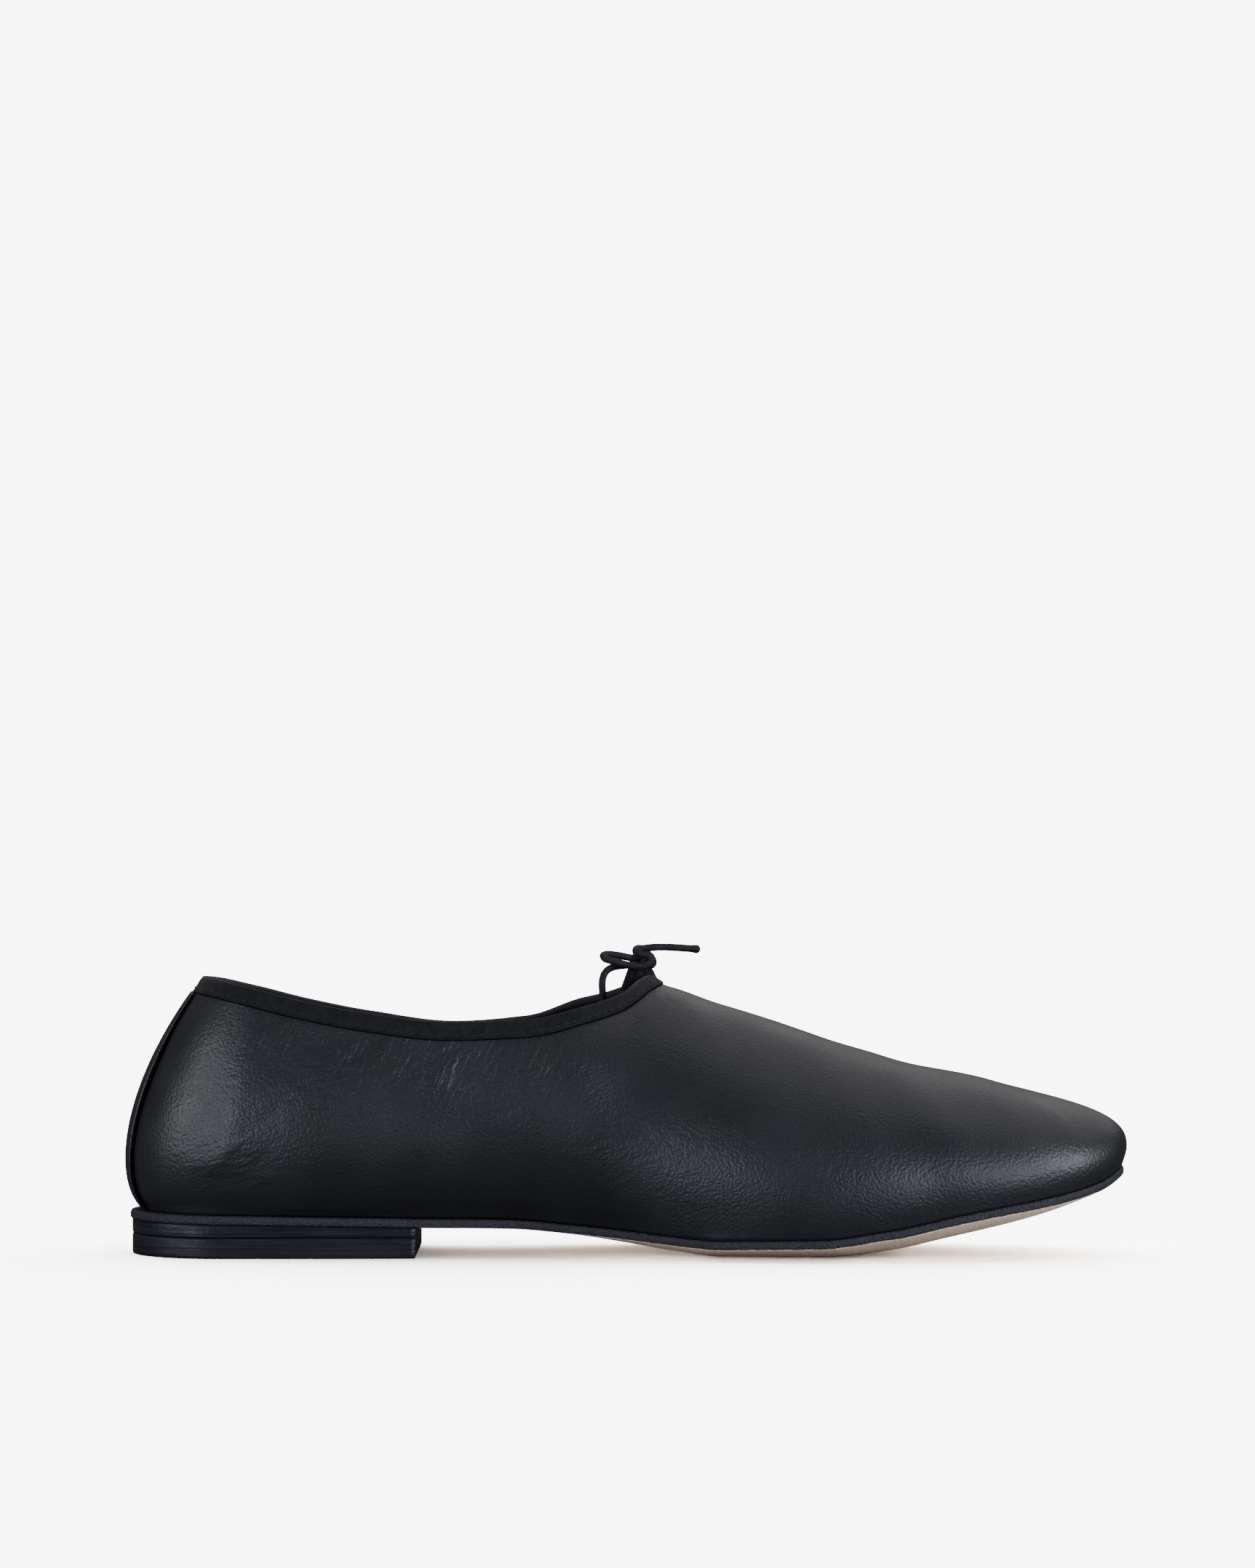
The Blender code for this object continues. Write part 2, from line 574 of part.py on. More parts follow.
slab("outsole", whole_length(), 0.0, sole_bottom, sole_top, SOLE_STEPS, sole_leather)
slab(
    "heel_block",
    heel_stations(heel_share),
    HEEL_INSET,
    lambda x, y: np.full_like(x, TOP_PIECE + GAP),
    lambda x, y: sole_bottom(x, y) - GAP,
    HEEL_STEPS,
    heel_leather,
)
slab(
    "top_piece",
    heel_stations(heel_share),
    HEEL_INSET,
    lambda x, y: np.zeros_like(x),
    lambda x, y: np.full_like(x, TOP_PIECE),
    HEEL_STEPS,
    heel_rubber,
)
insole_shares = whole_length()
slab(
    "insole",
    insole_shares,
    sole_value("feather", insole_shares) * FEATHER_INSET + WALL + 2 * GAP,
    lambda x, y: sole_top(x, y) + SEAT_GAP,
    lambda x, y: sole_top(x, y) + SEAT_GAP + INSOLE_THICKNESS,
    INSOLE_STEPS,
    lining,
)
upper = make_upper(black_leather)
skin = leather_skin()
make_binding(upper, skin, ribbon)
make_back_strip(skin, black_leather)
make_knot(KNOT_PLACE, cord)
for name, route in BOW_ROUTES.items():
    make_tube(name, route, cord)
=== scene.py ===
"""Looks of a left ballet flat: black leather upper, ribbon binding, cord bow, thin leather sole."""

import math

import bmesh
import bpy
import numpy as np
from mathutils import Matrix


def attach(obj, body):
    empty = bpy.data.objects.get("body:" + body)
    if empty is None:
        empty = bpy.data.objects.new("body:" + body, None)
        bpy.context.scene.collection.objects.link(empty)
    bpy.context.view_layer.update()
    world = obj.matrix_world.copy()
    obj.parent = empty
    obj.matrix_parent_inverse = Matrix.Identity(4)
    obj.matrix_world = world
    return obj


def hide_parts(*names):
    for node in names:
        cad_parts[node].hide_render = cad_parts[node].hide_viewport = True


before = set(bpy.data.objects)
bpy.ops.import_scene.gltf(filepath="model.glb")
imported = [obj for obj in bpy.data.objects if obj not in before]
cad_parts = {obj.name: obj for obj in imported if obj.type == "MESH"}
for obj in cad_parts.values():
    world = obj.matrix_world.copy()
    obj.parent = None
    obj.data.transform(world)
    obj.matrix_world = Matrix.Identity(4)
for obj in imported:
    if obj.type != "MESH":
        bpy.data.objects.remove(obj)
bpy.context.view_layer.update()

# The studio: a flat square of pale paper that the shoe stands on, with a broad soft light above it,
# one on each side of the camera and one past each end of the shoe. The camera stands level with
# a point just over the shoe and looks square at its inner side.
CAMERA_PLACE = (0.0, -1.5486, 0.122)
CAMERA_LENS = 136.4
CAMERA_SENSOR = 36.0
FLOOR_REACH = 60.0
PAPER_COLOUR = 0.95
PAPER_SEEN = 13.4
PAPER_GLOSS = 0.10
AIR_SEEN, AIR_LIGHT, AIR_GLOSS = 8.0, 0.08, 0.05
OVERHEAD_STRENGTH, OVERHEAD_SPREAD = 1.8, 95
OVERHEAD_TILT = (-22, 4, 0)
COOL_LIGHT, PALE_LIGHT = (0.84, 0.87, 1.0), (0.90, 0.93, 1.0)
SIDE_LIGHT_SIZE, END_LIGHT_SIZE = (0.6, 0.4), (0.6, 0.6)
PAPER_ONLY = bpy.data.collections.new("paper_only")


def place_camera():
    lens = bpy.data.cameras.new("camera")
    lens.lens = CAMERA_LENS
    lens.sensor_width = CAMERA_SENSOR
    lens.clip_start = 0.05
    camera = bpy.data.objects.new("camera", lens)
    camera.location = CAMERA_PLACE
    camera.rotation_euler = (math.radians(90), 0, 0)
    bpy.context.scene.collection.objects.link(camera)
    bpy.context.scene.camera = camera


def soft_light(name, place, aim, size, power, colour):
    """An area light at place, turned towards aim, that leaves the paper to the overhead light."""
    lamp = bpy.data.lights.new(name, "AREA")
    lamp.shape = "RECTANGLE"
    lamp.size, lamp.size_y = size
    lamp.energy = power
    lamp.color = colour
    light = bpy.data.objects.new(name, lamp)
    light.location = place
    light.rotation_euler = (
        (light.location - type(light.location)(aim)).to_track_quat("Z", "Y").to_euler()
    )
    bpy.context.scene.collection.objects.link(light)
    light.light_linking.receiver_collection = PAPER_ONLY


def overhead():
    """Light from the whole ceiling, a little behind the shoe, even over all of the floor."""
    lamp = bpy.data.lights.new("overhead", "SUN")
    lamp.energy = OVERHEAD_STRENGTH
    lamp.angle = math.radians(OVERHEAD_SPREAD)
    light = bpy.data.objects.new("overhead", lamp)
    light.rotation_euler = [math.radians(turn) for turn in OVERHEAD_TILT]
    bpy.context.scene.collection.objects.link(light)


def paper_floor():
    """A flat square of paper, exposed to near white where the camera sees it."""
    reach = FLOOR_REACH
    corners = [(-reach, -reach, 0), (reach, -reach, 0), (reach, reach, 0), (-reach, reach, 0)]
    mesh = bpy.data.meshes.new("floor")
    mesh.from_pydata(corners, [], [(0, 1, 2, 3)])
    paper = bpy.data.materials.new("paper")
    paper.use_nodes = True
    tree = paper.node_tree
    tree.nodes.clear()
    output = tree.nodes.new("ShaderNodeOutputMaterial")
    rays = tree.nodes.new("ShaderNodeLightPath")
    shade = None
    levels = ((None, PAPER_COLOUR), ("Is Glossy Ray", PAPER_GLOSS), ("Is Camera Ray", PAPER_SEEN))
    for ray, level in levels:
        paint = tree.nodes.new("ShaderNodeBsdfDiffuse")
        paint.inputs["Color"].default_value = (level, level, level, 1)
        if ray:
            mix = tree.nodes.new("ShaderNodeMixShader")
            tree.links.new(rays.outputs[ray], mix.inputs[0])
            tree.links.new(shade, mix.inputs[1])
            tree.links.new(paint.outputs[0], mix.inputs[2])
            paint = mix
        shade = paint.outputs[0]
    tree.links.new(shade, output.inputs["Surface"])
    mesh.materials.append(paper)
    floor = bpy.data.objects.new("floor", mesh)
    bpy.context.scene.collection.objects.link(floor)
    PAPER_ONLY.objects.link(floor)
    PAPER_ONLY.collection_objects[0].light_linking.link_state = "EXCLUDE"


def studio_air():
    """Even pale surroundings: bright where the camera looks past the shoe, dim in its gloss."""
    world = bpy.data.worlds.new("studio")
    world.use_nodes = True
    tree = world.node_tree
    back = tree.nodes["Background"]
    back.inputs["Color"].default_value = (1, 1, 1, 1)
    rays = tree.nodes.new("ShaderNodeLightPath")
    gloss, seen = (tree.nodes.new("ShaderNodeMapRange") for _ in range(2))
    gloss.inputs["To Min"].default_value = AIR_LIGHT
    gloss.inputs["To Max"].default_value = AIR_GLOSS
    seen.inputs["To Max"].default_value = AIR_SEEN
    tree.links.new(rays.outputs["Is Glossy Ray"], gloss.inputs["Value"])
    tree.links.new(rays.outputs["Is Camera Ray"], seen.inputs["Value"])
    tree.links.new(gloss.outputs["Result"], seen.inputs["To Min"])
    tree.links.new(seen.outputs["Result"], back.inputs["Strength"])
    bpy.context.scene.world = world


place_camera()
paper_floor()
studio_air()
overhead()
soft_light("left_light", (-1.20, -1.60, 0.12), (-0.08, 0.0, 0.03), SIDE_LIGHT_SIZE, 20, COOL_LIGHT)
soft_light("right_light", (1.05, -1.60, 0.26), (0.06, 0.0, 0.03), SIDE_LIGHT_SIZE, 18, COOL_LIGHT)
soft_light("heel_light", (-1.5, -0.6, 0.45), (-0.10, 0.0, 0.04), END_LIGHT_SIZE, 11, PALE_LIGHT)
soft_light("toe_light", (1.5, -0.6, 0.45), (0.10, 0.0, 0.03), END_LIGHT_SIZE, 22, PALE_LIGHT)

# The outsole: one thin piece of tan sole leather, cut to the foot's outline. Its edge is
# roughened and painted black, it rises at the toe, and the forefoot's edges cup upwards.
SOLE_LENGTH = 0.2585
BALL_WIDTH = 0.0765
SOLE_THICKNESS = 0.0023
HEEL_HEIGHT = 0.0091
TOE_SPRING = 0.0208
SOLE_CUP = 0.0042
HEEL_LENGTH = 0.0750
HEEL_END = -0.1295
SEAT_MIDDLE = 0.0014
HEEL_ROUND = 0.0240
TOE_ROUND = 0.0470
FLAT_SHARE = 0.35
CUP_POWER = 1.8
INNER = -1
OUTER = 1
# Share of the length, middle line and half width in shares of BALL_WIDTH, arch, spring and cup
# in shares of their own sizes, and how far in from the edge the upper starts.
SOLE_COLUMNS = ("length", "middle", "half", "arch", "spring", "cup", "feather")
SOLE_ROWS = (
    (0.000, 0.000, 0.333, 1.000, 0.000, 0.00, 1.00),
    (0.060, 0.000, 0.333, 0.975, 0.000, 0.00, 0.70),
    (0.140, 0.000, 0.331, 0.940, 0.000, 0.00, 0.50),
    (0.290, 0.006, 0.324, 0.868, 0.000, 0.00, 0.50),
    (0.385, 0.034, 0.312, 0.800, 0.000, 0.04, 0.40),
    (0.443, 0.036, 0.333, 0.600, 0.000, 0.22, 0.35),
    (0.501, 0.023, 0.379, 0.350, 0.000, 0.46, 0.30),
    (0.545, 0.010, 0.425, 0.150, 0.000, 0.62, 0.30),
    (0.594, -0.004, 0.470, 0.000, 0.000, 0.74, 0.25),
    (0.694, -0.021, 0.500, 0.000, 0.000, 0.86, 0.25),
    (0.760, -0.034, 0.477, 0.000, 0.077, 1.04, 0.20),
    (0.818, -0.042, 0.444, 0.000, 0.230, 1.02, 0.20),
    (0.909, -0.050, 0.418, 0.000, 0.510, 1.00, 0.15),
    (0.969, -0.053, 0.402, 0.000, 0.790, 0.90, 0.12),
    (1.000, -0.055, 0.392, 0.000, 1.000, 0.70, 0.12),
)
# The worked edge, from the underside round to the top: how far in, in metres, and how far up
# the thickness.
SOLE_RIM = (
    (0.0012, 0.00), (0.0005, 0.00), (0.0002, 0.05), (0.0000, 0.20), (0.0000, 0.40),
    (0.0000, 0.60), (0.0001, 0.80), (0.0003, 0.95), (0.0006, 1.00), (0.0012, 1.00),
)
EDGE_ROUGHNESS = 0.00010
TAN, TAN_PALE = (0.88, 0.69, 0.53), (0.93, 0.79, 0.66)
EDGE_PAINT, EDGE_WORN = (0.010, 0.010, 0.013), (0.022, 0.022, 0.030)


def table(rows, columns):
    """The rows as a dictionary of one array for each named column."""
    return dict(zip(columns, np.array(rows, float).T))


def smooth(at, xs, ys, flat_start=False, flat_end=False):
    """A cubic through (xs, ys) whose slope at each point is the harmonic mean of its chords."""
    at = np.clip(np.asarray(at, float), xs[0], xs[-1])
    steps = np.diff(xs)
    secants = np.diff(ys) / steps
    before, after = secants[:-1], secants[1:]
    same = before * after > 0
    inner = np.where(same, 2 * before * after / np.where(same, before + after, 1.0), 0.0)
    first = 0.0 if flat_start else secants[0]
    last = 0.0 if flat_end else secants[-1]
    slopes = np.concatenate([[first], inner, [last]])
    i = np.clip(np.searchsorted(xs, at, side="right") - 1, 0, len(xs) - 2)
    h = steps[i]
    t = (at - xs[i]) / h
    return (
        (1 + 2 * t) * (1 - t) ** 2 * ys[i]
        + t * (1 - t) ** 2 * h * slopes[i]
        + t**2 * (3 - 2 * t) * ys[i + 1]
        + t**2 * (t - 1) * h * slopes[i + 1]
    )


SOLE = table(SOLE_ROWS, SOLE_COLUMNS)


def sole_value(name, share):
    return smooth(share, SOLE["length"], SOLE[name])


def rounded(distance, reach):
    """A quarter of an ellipse, from 0 at an end to 1 at reach from it."""
    return np.sqrt(1 - np.clip(1 - distance / reach, 0, 1) ** 2)


def along(share):
    return HEEL_END + share * SOLE_LENGTH


def middle_line(share):
    return SEAT_MIDDLE + sole_value("middle", share) * BALL_WIDTH


def edge(share, side):
    """The sole's outline on one side: middle line plus half width, rounded at both ends."""
    share = np.clip(share, 0, 1)
    ends = rounded(share * SOLE_LENGTH, HEEL_ROUND) * rounded((1 - share) * SOLE_LENGTH, TOE_ROUND)
    half = sole_value("half", share) * ends * BALL_WIDTH
    return np.stack([along(share), middle_line(share) + side * half], -1)


def unit(vectors):
    """The vectors divided by their lengths."""
    return vectors / np.maximum(np.linalg.norm(vectors, axis=-1, keepdims=True), 1e-12)


def outward(share, side):
    """The outline's unit normal in plan, from a small step along it."""
    small = 1e-4
    share = np.clip(share, 0, 1)
    run = edge(np.minimum(share + small, 1), side) - edge(np.maximum(share - small, 0), side)
    normal = np.stack([-side * run[..., 1], side * run[..., 0]], -1)
    at_heel, at_toe = (share < small)[..., None], (share > 1 - small)[..., None]
    return unit(np.where(at_heel, [-1.0, 0.0], np.where(at_toe, [1.0, 0.0], normal)))


def inset_edge(share, side, inset):
    return edge(share, side) - outward(share, side) * np.asarray(inset)[..., None]


def sole_bottom(x, y):
    """Arch plus toe spring, plus a cup that grows as a power of the distance from the middle."""
    share = (x - HEEL_END) / SOLE_LENGTH
    middle = sole_value("arch", share) * HEEL_HEIGHT + sole_value("spring", share) * TOE_SPRING
    half = sole_value("half", share) * BALL_WIDTH
    across = np.abs(y - middle_line(share)) / half
    lift = np.clip((across - FLAT_SHARE) / (1 - FLAT_SHARE), 0, None) ** CUP_POWER
    return middle + sole_value("cup", share) * SOLE_CUP * lift


def sole_top(x, y):
    return sole_bottom(x, y) + SOLE_THICKNESS


def grid_faces(rows, columns, start=0, wrap=False):
    """Quads of a rows by columns grid of points that begins at index start."""
    i, j = np.meshgrid(np.arange(rows - (not wrap)), np.arange(columns - 1), indexing="ij")
    a = start + i * columns + j
    b = start + (i + 1) % rows * columns + j
    return np.stack([a, b, b + 1, a + 1], -1).reshape(-1, 4)


def ripple(points, pitch, seed):
    """Smooth irregular waves from -1 to 1: a sum of sines in several directions."""
    draw = np.random.default_rng(seed)
    total = np.zeros(points.shape[:-1])
    for _ in range(7):
        way = draw.normal(size=3)
        way *= draw.uniform(0.6, 1.6) * 2 * math.pi / (pitch * np.linalg.norm(way))
        total += np.sin(points @ way + draw.uniform(0, 2 * math.pi))
    return total / 7


def make_piece(name, points, faces, materials, replaced, values=None, weld=1e-6):
    """A mesh object from points and faces: doubled points welded, faces turned out, smooth."""
    mesh = bpy.data.meshes.new(name)
    mesh.from_pydata(points.reshape(-1, 3).tolist(), [], faces.tolist())
    for attribute, numbers in (values or {}).items():
        layer = mesh.attributes.new(attribute, "FLOAT", "POINT")
        layer.data.foreach_set("value", np.asarray(numbers, np.float32).ravel())
    shape = bmesh.new()
    shape.from_mesh(mesh)
    bmesh.ops.remove_doubles(shape, verts=shape.verts, dist=weld)
    bmesh.ops.dissolve_degenerate(shape, edges=shape.edges, dist=1e-7)
    bmesh.ops.recalc_face_normals(shape, faces=shape.faces)
    shape.to_mesh(mesh)
    shape.free()
    mesh.shade_smooth()
    for material in materials:
        mesh.materials.append(material)
    piece = bpy.data.objects.new(name, mesh)
    bpy.context.scene.collection.objects.link(piece)
    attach(piece, "root")
    if replaced:
        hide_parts(*replaced)
    return piece


def border_of(rows, columns):
    """Numbers of a grid's points all the way round its border."""
    index = np.arange(rows * columns).reshape(rows, columns)
    return np.concatenate([index[0], index[1:, -1], index[-1, -2::-1], index[-2:0:-1, 0]])


def plate(plan, rim, low, high, steps):
    """Points and faces of a plate. plan(inset) gives its two sides; rim is its edge's profile.

    The rim is the plan's border carried round the profile; underside and top are straight
    rules between the two sides. Also gives each point's height share, 0 below to 1 on top.
    """
    across = (1 - np.cos(np.linspace(0, math.pi, steps + 1)))[None, :, None] / 2

    def cover(inset):
        inner, outer = plan(inset)
        return inner[:, None] * (1 - across) + outer[:, None] * across

    first = cover(rim[0][0])
    rows, columns = first.shape[:2]
    border = border_of(rows, columns)
    rings, shares = [], []
    for inset, up in rim:
        line = cover(inset).reshape(-1, 2)[border]
        x, y = line[:, 0], line[:, 1]
        z = low(x, y) * (1 - up) + high(x, y) * up
        rings.append(np.stack([x, y, z], -1))
        shares.append(np.full(len(border), up))
    ring = np.stack(rings, 1)
    points, faces = [ring.reshape(-1, 3)], [grid_faces(len(border), len(rim), wrap=True)]
    heights = [np.stack(shares, 1).ravel()]
    start = ring.size // 3
    for level, inset in ((low, rim[0][0]), (high, rim[-1][0])):
        flat = cover(inset)
        x, y = flat[..., 0], flat[..., 1]
        points.append(np.stack([x, y, level(x, y)], -1).reshape(-1, 3))
        faces.append(grid_faces(rows, columns, start))
        heights.append(np.full(x.size, float(level is high)))
        start += x.size
    return np.concatenate(points), np.concatenate(faces), np.concatenate(heights)


def ends_close(count, last=1.0):
    """Shares of the length, closer together at both ends."""
    return last * (1 - np.cos(np.linspace(0, math.pi, count + 1))) / 2


def plain_material(name, colour, roughness, specular=0.5):
    """A new material and its node tree, with these values on its shader."""
    made = bpy.data.materials.new(name)
    made.use_nodes = True
    shader = made.node_tree.nodes["Principled BSDF"]
    shader.inputs["Base Color"].default_value = (*colour, 1)
    shader.inputs["Roughness"].default_value = roughness
    shader.inputs["Specular IOR Level"].default_value = specular
    return made, made.node_tree


def add_node(tree, kind, links=None, **settings):
    """A node with settings by socket or property name, and links from other nodes' outputs."""
    node = tree.nodes.new(kind)
    for key, value in settings.items():
        title = key.replace("_", " ").title()
        if hasattr(node, key):
            setattr(node, key, value)
        else:
            node.inputs[title].default_value = value
    for socket, source in (links or {}).items():
        tree.links.new(source, node.inputs[socket])
    return node


def math_node(tree, operation, *values):
    """A Math node's output. Each value is a number or another node's output."""
    node = add_node(tree, "ShaderNodeMath", operation=operation)
    for socket, value in zip(node.inputs, values):
        if isinstance(value, (int, float)):
            socket.default_value = value
        else:
            tree.links.new(value, socket)
    return node.outputs[0]


def ranged(tree, value, to_min, to_max, from_min=0, from_max=1):
    """A Map Range node's output: value carried from one range to another."""
    limits = {"from_min": from_min, "from_max": from_max, "to_min": to_min, "to_max": to_max}
    return add_node(tree, "ShaderNodeMapRange", {"Value": value}, **limits).outputs["Result"]


def attribute(tree, name):
    return add_node(tree, "ShaderNodeAttribute", attribute_name=name).outputs["Fac"]


def use_group(tree, group, **values):
    """The first output of a node group set to these values."""
    node = tree.nodes.new("ShaderNodeGroup")
    node.node_tree = group
    for title, value in values.items():
        node.inputs[title].default_value = value
    return node.outputs[0]


def dress(tree, colour, normal=None, roughness=None):
    """Link what is given to the tree's shader."""
    shader = tree.nodes["Principled BSDF"]
    for title, source in (("Base Color", colour), ("Normal", normal), ("Roughness", roughness)):
        if source:
            tree.links.new(source, shader.inputs[title])


def bumped(tree, height, distance, before=None):
    """A Bump node on height, in metres, after an earlier normal if there is one."""
    bump = add_node(tree, "ShaderNodeBump", {"Height": height}, distance=distance)
    if before:
        tree.links.new(before, bump.inputs["Normal"])
    return bump.outputs["Normal"]


def blend_colour(tree, factor, one, other):
    """A colour that goes from one to other as factor goes from 0 to 1."""
    mix = tree.nodes.new("ShaderNodeMix")
    mix.data_type = "RGBA"
    for socket, value in ((6, one), (7, other)):
        if isinstance(value, tuple):
            mix.inputs[socket].default_value = (*value, 1)
        else:
            tree.links.new(value, mix.inputs[socket])
    tree.links.new(factor, mix.inputs[0])
    return mix.outputs[2]


def new_group(name, inputs, output):
    """An empty node group with these sockets, and its input and output nodes."""
    group = bpy.data.node_groups.new(name, "ShaderNodeTree")
    for title, kind in inputs:
        group.interface.new_socket(title, in_out="INPUT", socket_type="NodeSocket" + kind)
    group.interface.new_socket(output, in_out="OUTPUT", socket_type="NodeSocketFloat")
    return group, group.nodes.new("NodeGroupInput").outputs, group.nodes.new("NodeGroupOutput").inputs


def clouds_group():
    """Shared uneven shade: three octaves of noise on Object coordinates, spread over 0 to 1."""
    group, taken, given = new_group("clouds", (("Scale", "Float"), ("Stretch", "Vector")), "Shade")
    place = add_node(group, "ShaderNodeTexCoord").outputs["Object"]
    stretch = add_node(
        group, "ShaderNodeVectorMath", {0: place, 1: taken["Stretch"]}, operation="MULTIPLY"
    )
    noise = add_node(
        group, "ShaderNodeTexNoise", {"Vector": stretch.outputs[0], "Scale": taken["Scale"]},
        detail=3.0,
    )
    group.links.new(ranged(group, noise.outputs["Fac"], 0, 1, 0.3, 0.7), given["Shade"])
    return group


CLOUDS = clouds_group()


def clouds(tree, scale, stretch=(1, 1, 1)):
    return use_group(tree, CLOUDS, Scale=scale, Stretch=stretch)


def sole_material():
    """Tan leather below, black paint on the edge, told apart by the height share attribute."""
    made, tree = plain_material("sole_leather", TAN, 0.6, 0.3)
    height = attribute(tree, "height")
    line = math_node(tree, "MULTIPLY_ADD", height, clouds(tree, 900), height)
    painted = ranged(tree, line, 0, 1, 0.03, 0.10)
    fibres = blend_colour(tree, clouds(tree, 260, (0.3, 1, 1)), TAN, TAN_PALE)
    paint = blend_colour(tree, clouds(tree, 1500), EDGE_PAINT, EDGE_WORN)
    colour = blend_colour(tree, painted, fibres, paint)
    dress(tree, colour, bumped(tree, clouds(tree, 1400), 0.00025))
    return made


def make_outsole():
    shares = ends_close(260)
    points, faces, heights = plate(
        lambda inset: (inset_edge(shares, INNER, inset), inset_edge(shares, OUTER, inset)),
        SOLE_RIM, sole_bottom, sole_top, 24,
    )
    seat = points[:, 0] < HEEL_END + HEEL_LENGTH
    heights = np.where(seat, np.maximum(heights, 0.5), heights)
    wall = (heights > 0.01) & (heights < 0.99) & ~seat
    points[:, 2] += wall * EDGE_ROUGHNESS * ripple(points, 0.004, 3)
    make_piece(
        "outsole_leather", points, faces, [sole_material()], ["outsole"],
        {"height": heights},
    )


make_outsole()


# The heel: a low stack of leather with a straight breast, and the lift under it that meets the
# floor. Both are trimmed together, stained black and polished, which leaves level streaks.
HEEL_INSET = 0.0005
TOP_PIECE = 0.0053
GAP = 0.0003
HEEL_RIM = (
    (0.0010, 0.00), (0.0003, 0.00), (0.0001, 0.03), (0.0000, 0.10), (0.0000, 0.35),
    (0.0000, 0.65), (0.0000, 0.90), (0.0001, 0.97), (0.0003, 1.00), (0.0010, 1.00),
)
HEEL_BLACK, HEEL_FADED = (0.006, 0.006, 0.008), (0.014, 0.014, 0.019)


def heel_material(name, roughness):
    """Black polish over streaks that run level round the heel."""
    made, tree = plain_material(name, HEEL_BLACK, roughness, 0.2)
    streaks = clouds(tree, 240, (0.12, 0.12, 9))
    colour = blend_colour(tree, streaks, HEEL_BLACK, HEEL_FADED)
    level = ranged(tree, clouds(tree, 120, (0.5, 0.5, 3)), roughness - 0.08, roughness + 0.12)
    normal = bumped(tree, clouds(tree, 900), 0.00004, bumped(tree, streaks, 0.00006))
    dress(tree, colour, normal, level)
    return made


def heel_plan(inset):
    """The seat's two sides as far as the breast, all drawn in by inset."""
    last = (HEEL_LENGTH - inset) / SOLE_LENGTH
    shares = last * (1 - np.cos(np.linspace(0, math.pi / 2, 91)))
    return tuple(inset_edge(shares, side, HEEL_INSET + inset) for side in (INNER, OUTER))


def make_heel():
    lift, block = heel_material("heel_rubber", 0.42), heel_material("heel_leather", 0.36)
    for name, low, high, finish, slot, node in (
        ("heel_lift", lambda x, y: np.zeros_like(x), lambda x, y: np.full_like(x, TOP_PIECE),
         lift, "heel_rubber", "top_piece"),
        ("heel_stack", lambda x, y: np.full_like(x, TOP_PIECE + GAP / 2),
         lambda x, y: sole_bottom(x, y) - GAP / 6, block, "heel_leather", "heel_block"),
    ):
        points, faces, _ = plate(heel_plan, HEEL_RIM, low, high, 20)
        make_piece(name, points, faces, [finish], [node])


make_heel()


# The insole: a sheet of black lining leather glued over the sole inside the shoe. Its edge
# tucks under the upper's lining all round.
FEATHER_INSET = 0.0040
WALL = 0.0015
SEAT_GAP = 0.00045
INSOLE_THICKNESS = 0.0018
INSOLE_RIM = ((0.0010, 0.0), (0.0002, 0.0), (0.0, 0.3), (0.0, 0.7), (0.0003, 0.95), (0.0012, 1.0))
LINING_BLACK, LINING_FADED = (0.012, 0.012, 0.013), (0.020, 0.020, 0.021)


def lining_material():
    """Matte black lining leather with a fine even grain."""
    made, tree = plain_material("lining_leather", LINING_BLACK, 0.62, 0.3)
    colour = blend_colour(tree, clouds(tree, 90), LINING_BLACK, LINING_FADED)
    dress(tree, colour, bumped(tree, clouds(tree, 1900), 0.00008))
    return made


LINING = lining_material()


def make_insole():
    shares = ends_close(200)
    tuck = sole_value("feather", shares) * FEATHER_INSET + WALL + 2 * GAP

    def plan(inset):
        return tuple(inset_edge(shares, side, tuck + inset) for side in (INNER, OUTER))

    points, faces, _ = plate(
        plan, INSOLE_RIM,
        lambda x, y: sole_top(x, y) + SEAT_GAP,
        lambda x, y: sole_top(x, y) + SEAT_GAP + INSOLE_THICKNESS, 20,
    )
    make_piece("insole_leather", points, faces, [LINING], ["insole"])


make_insole()


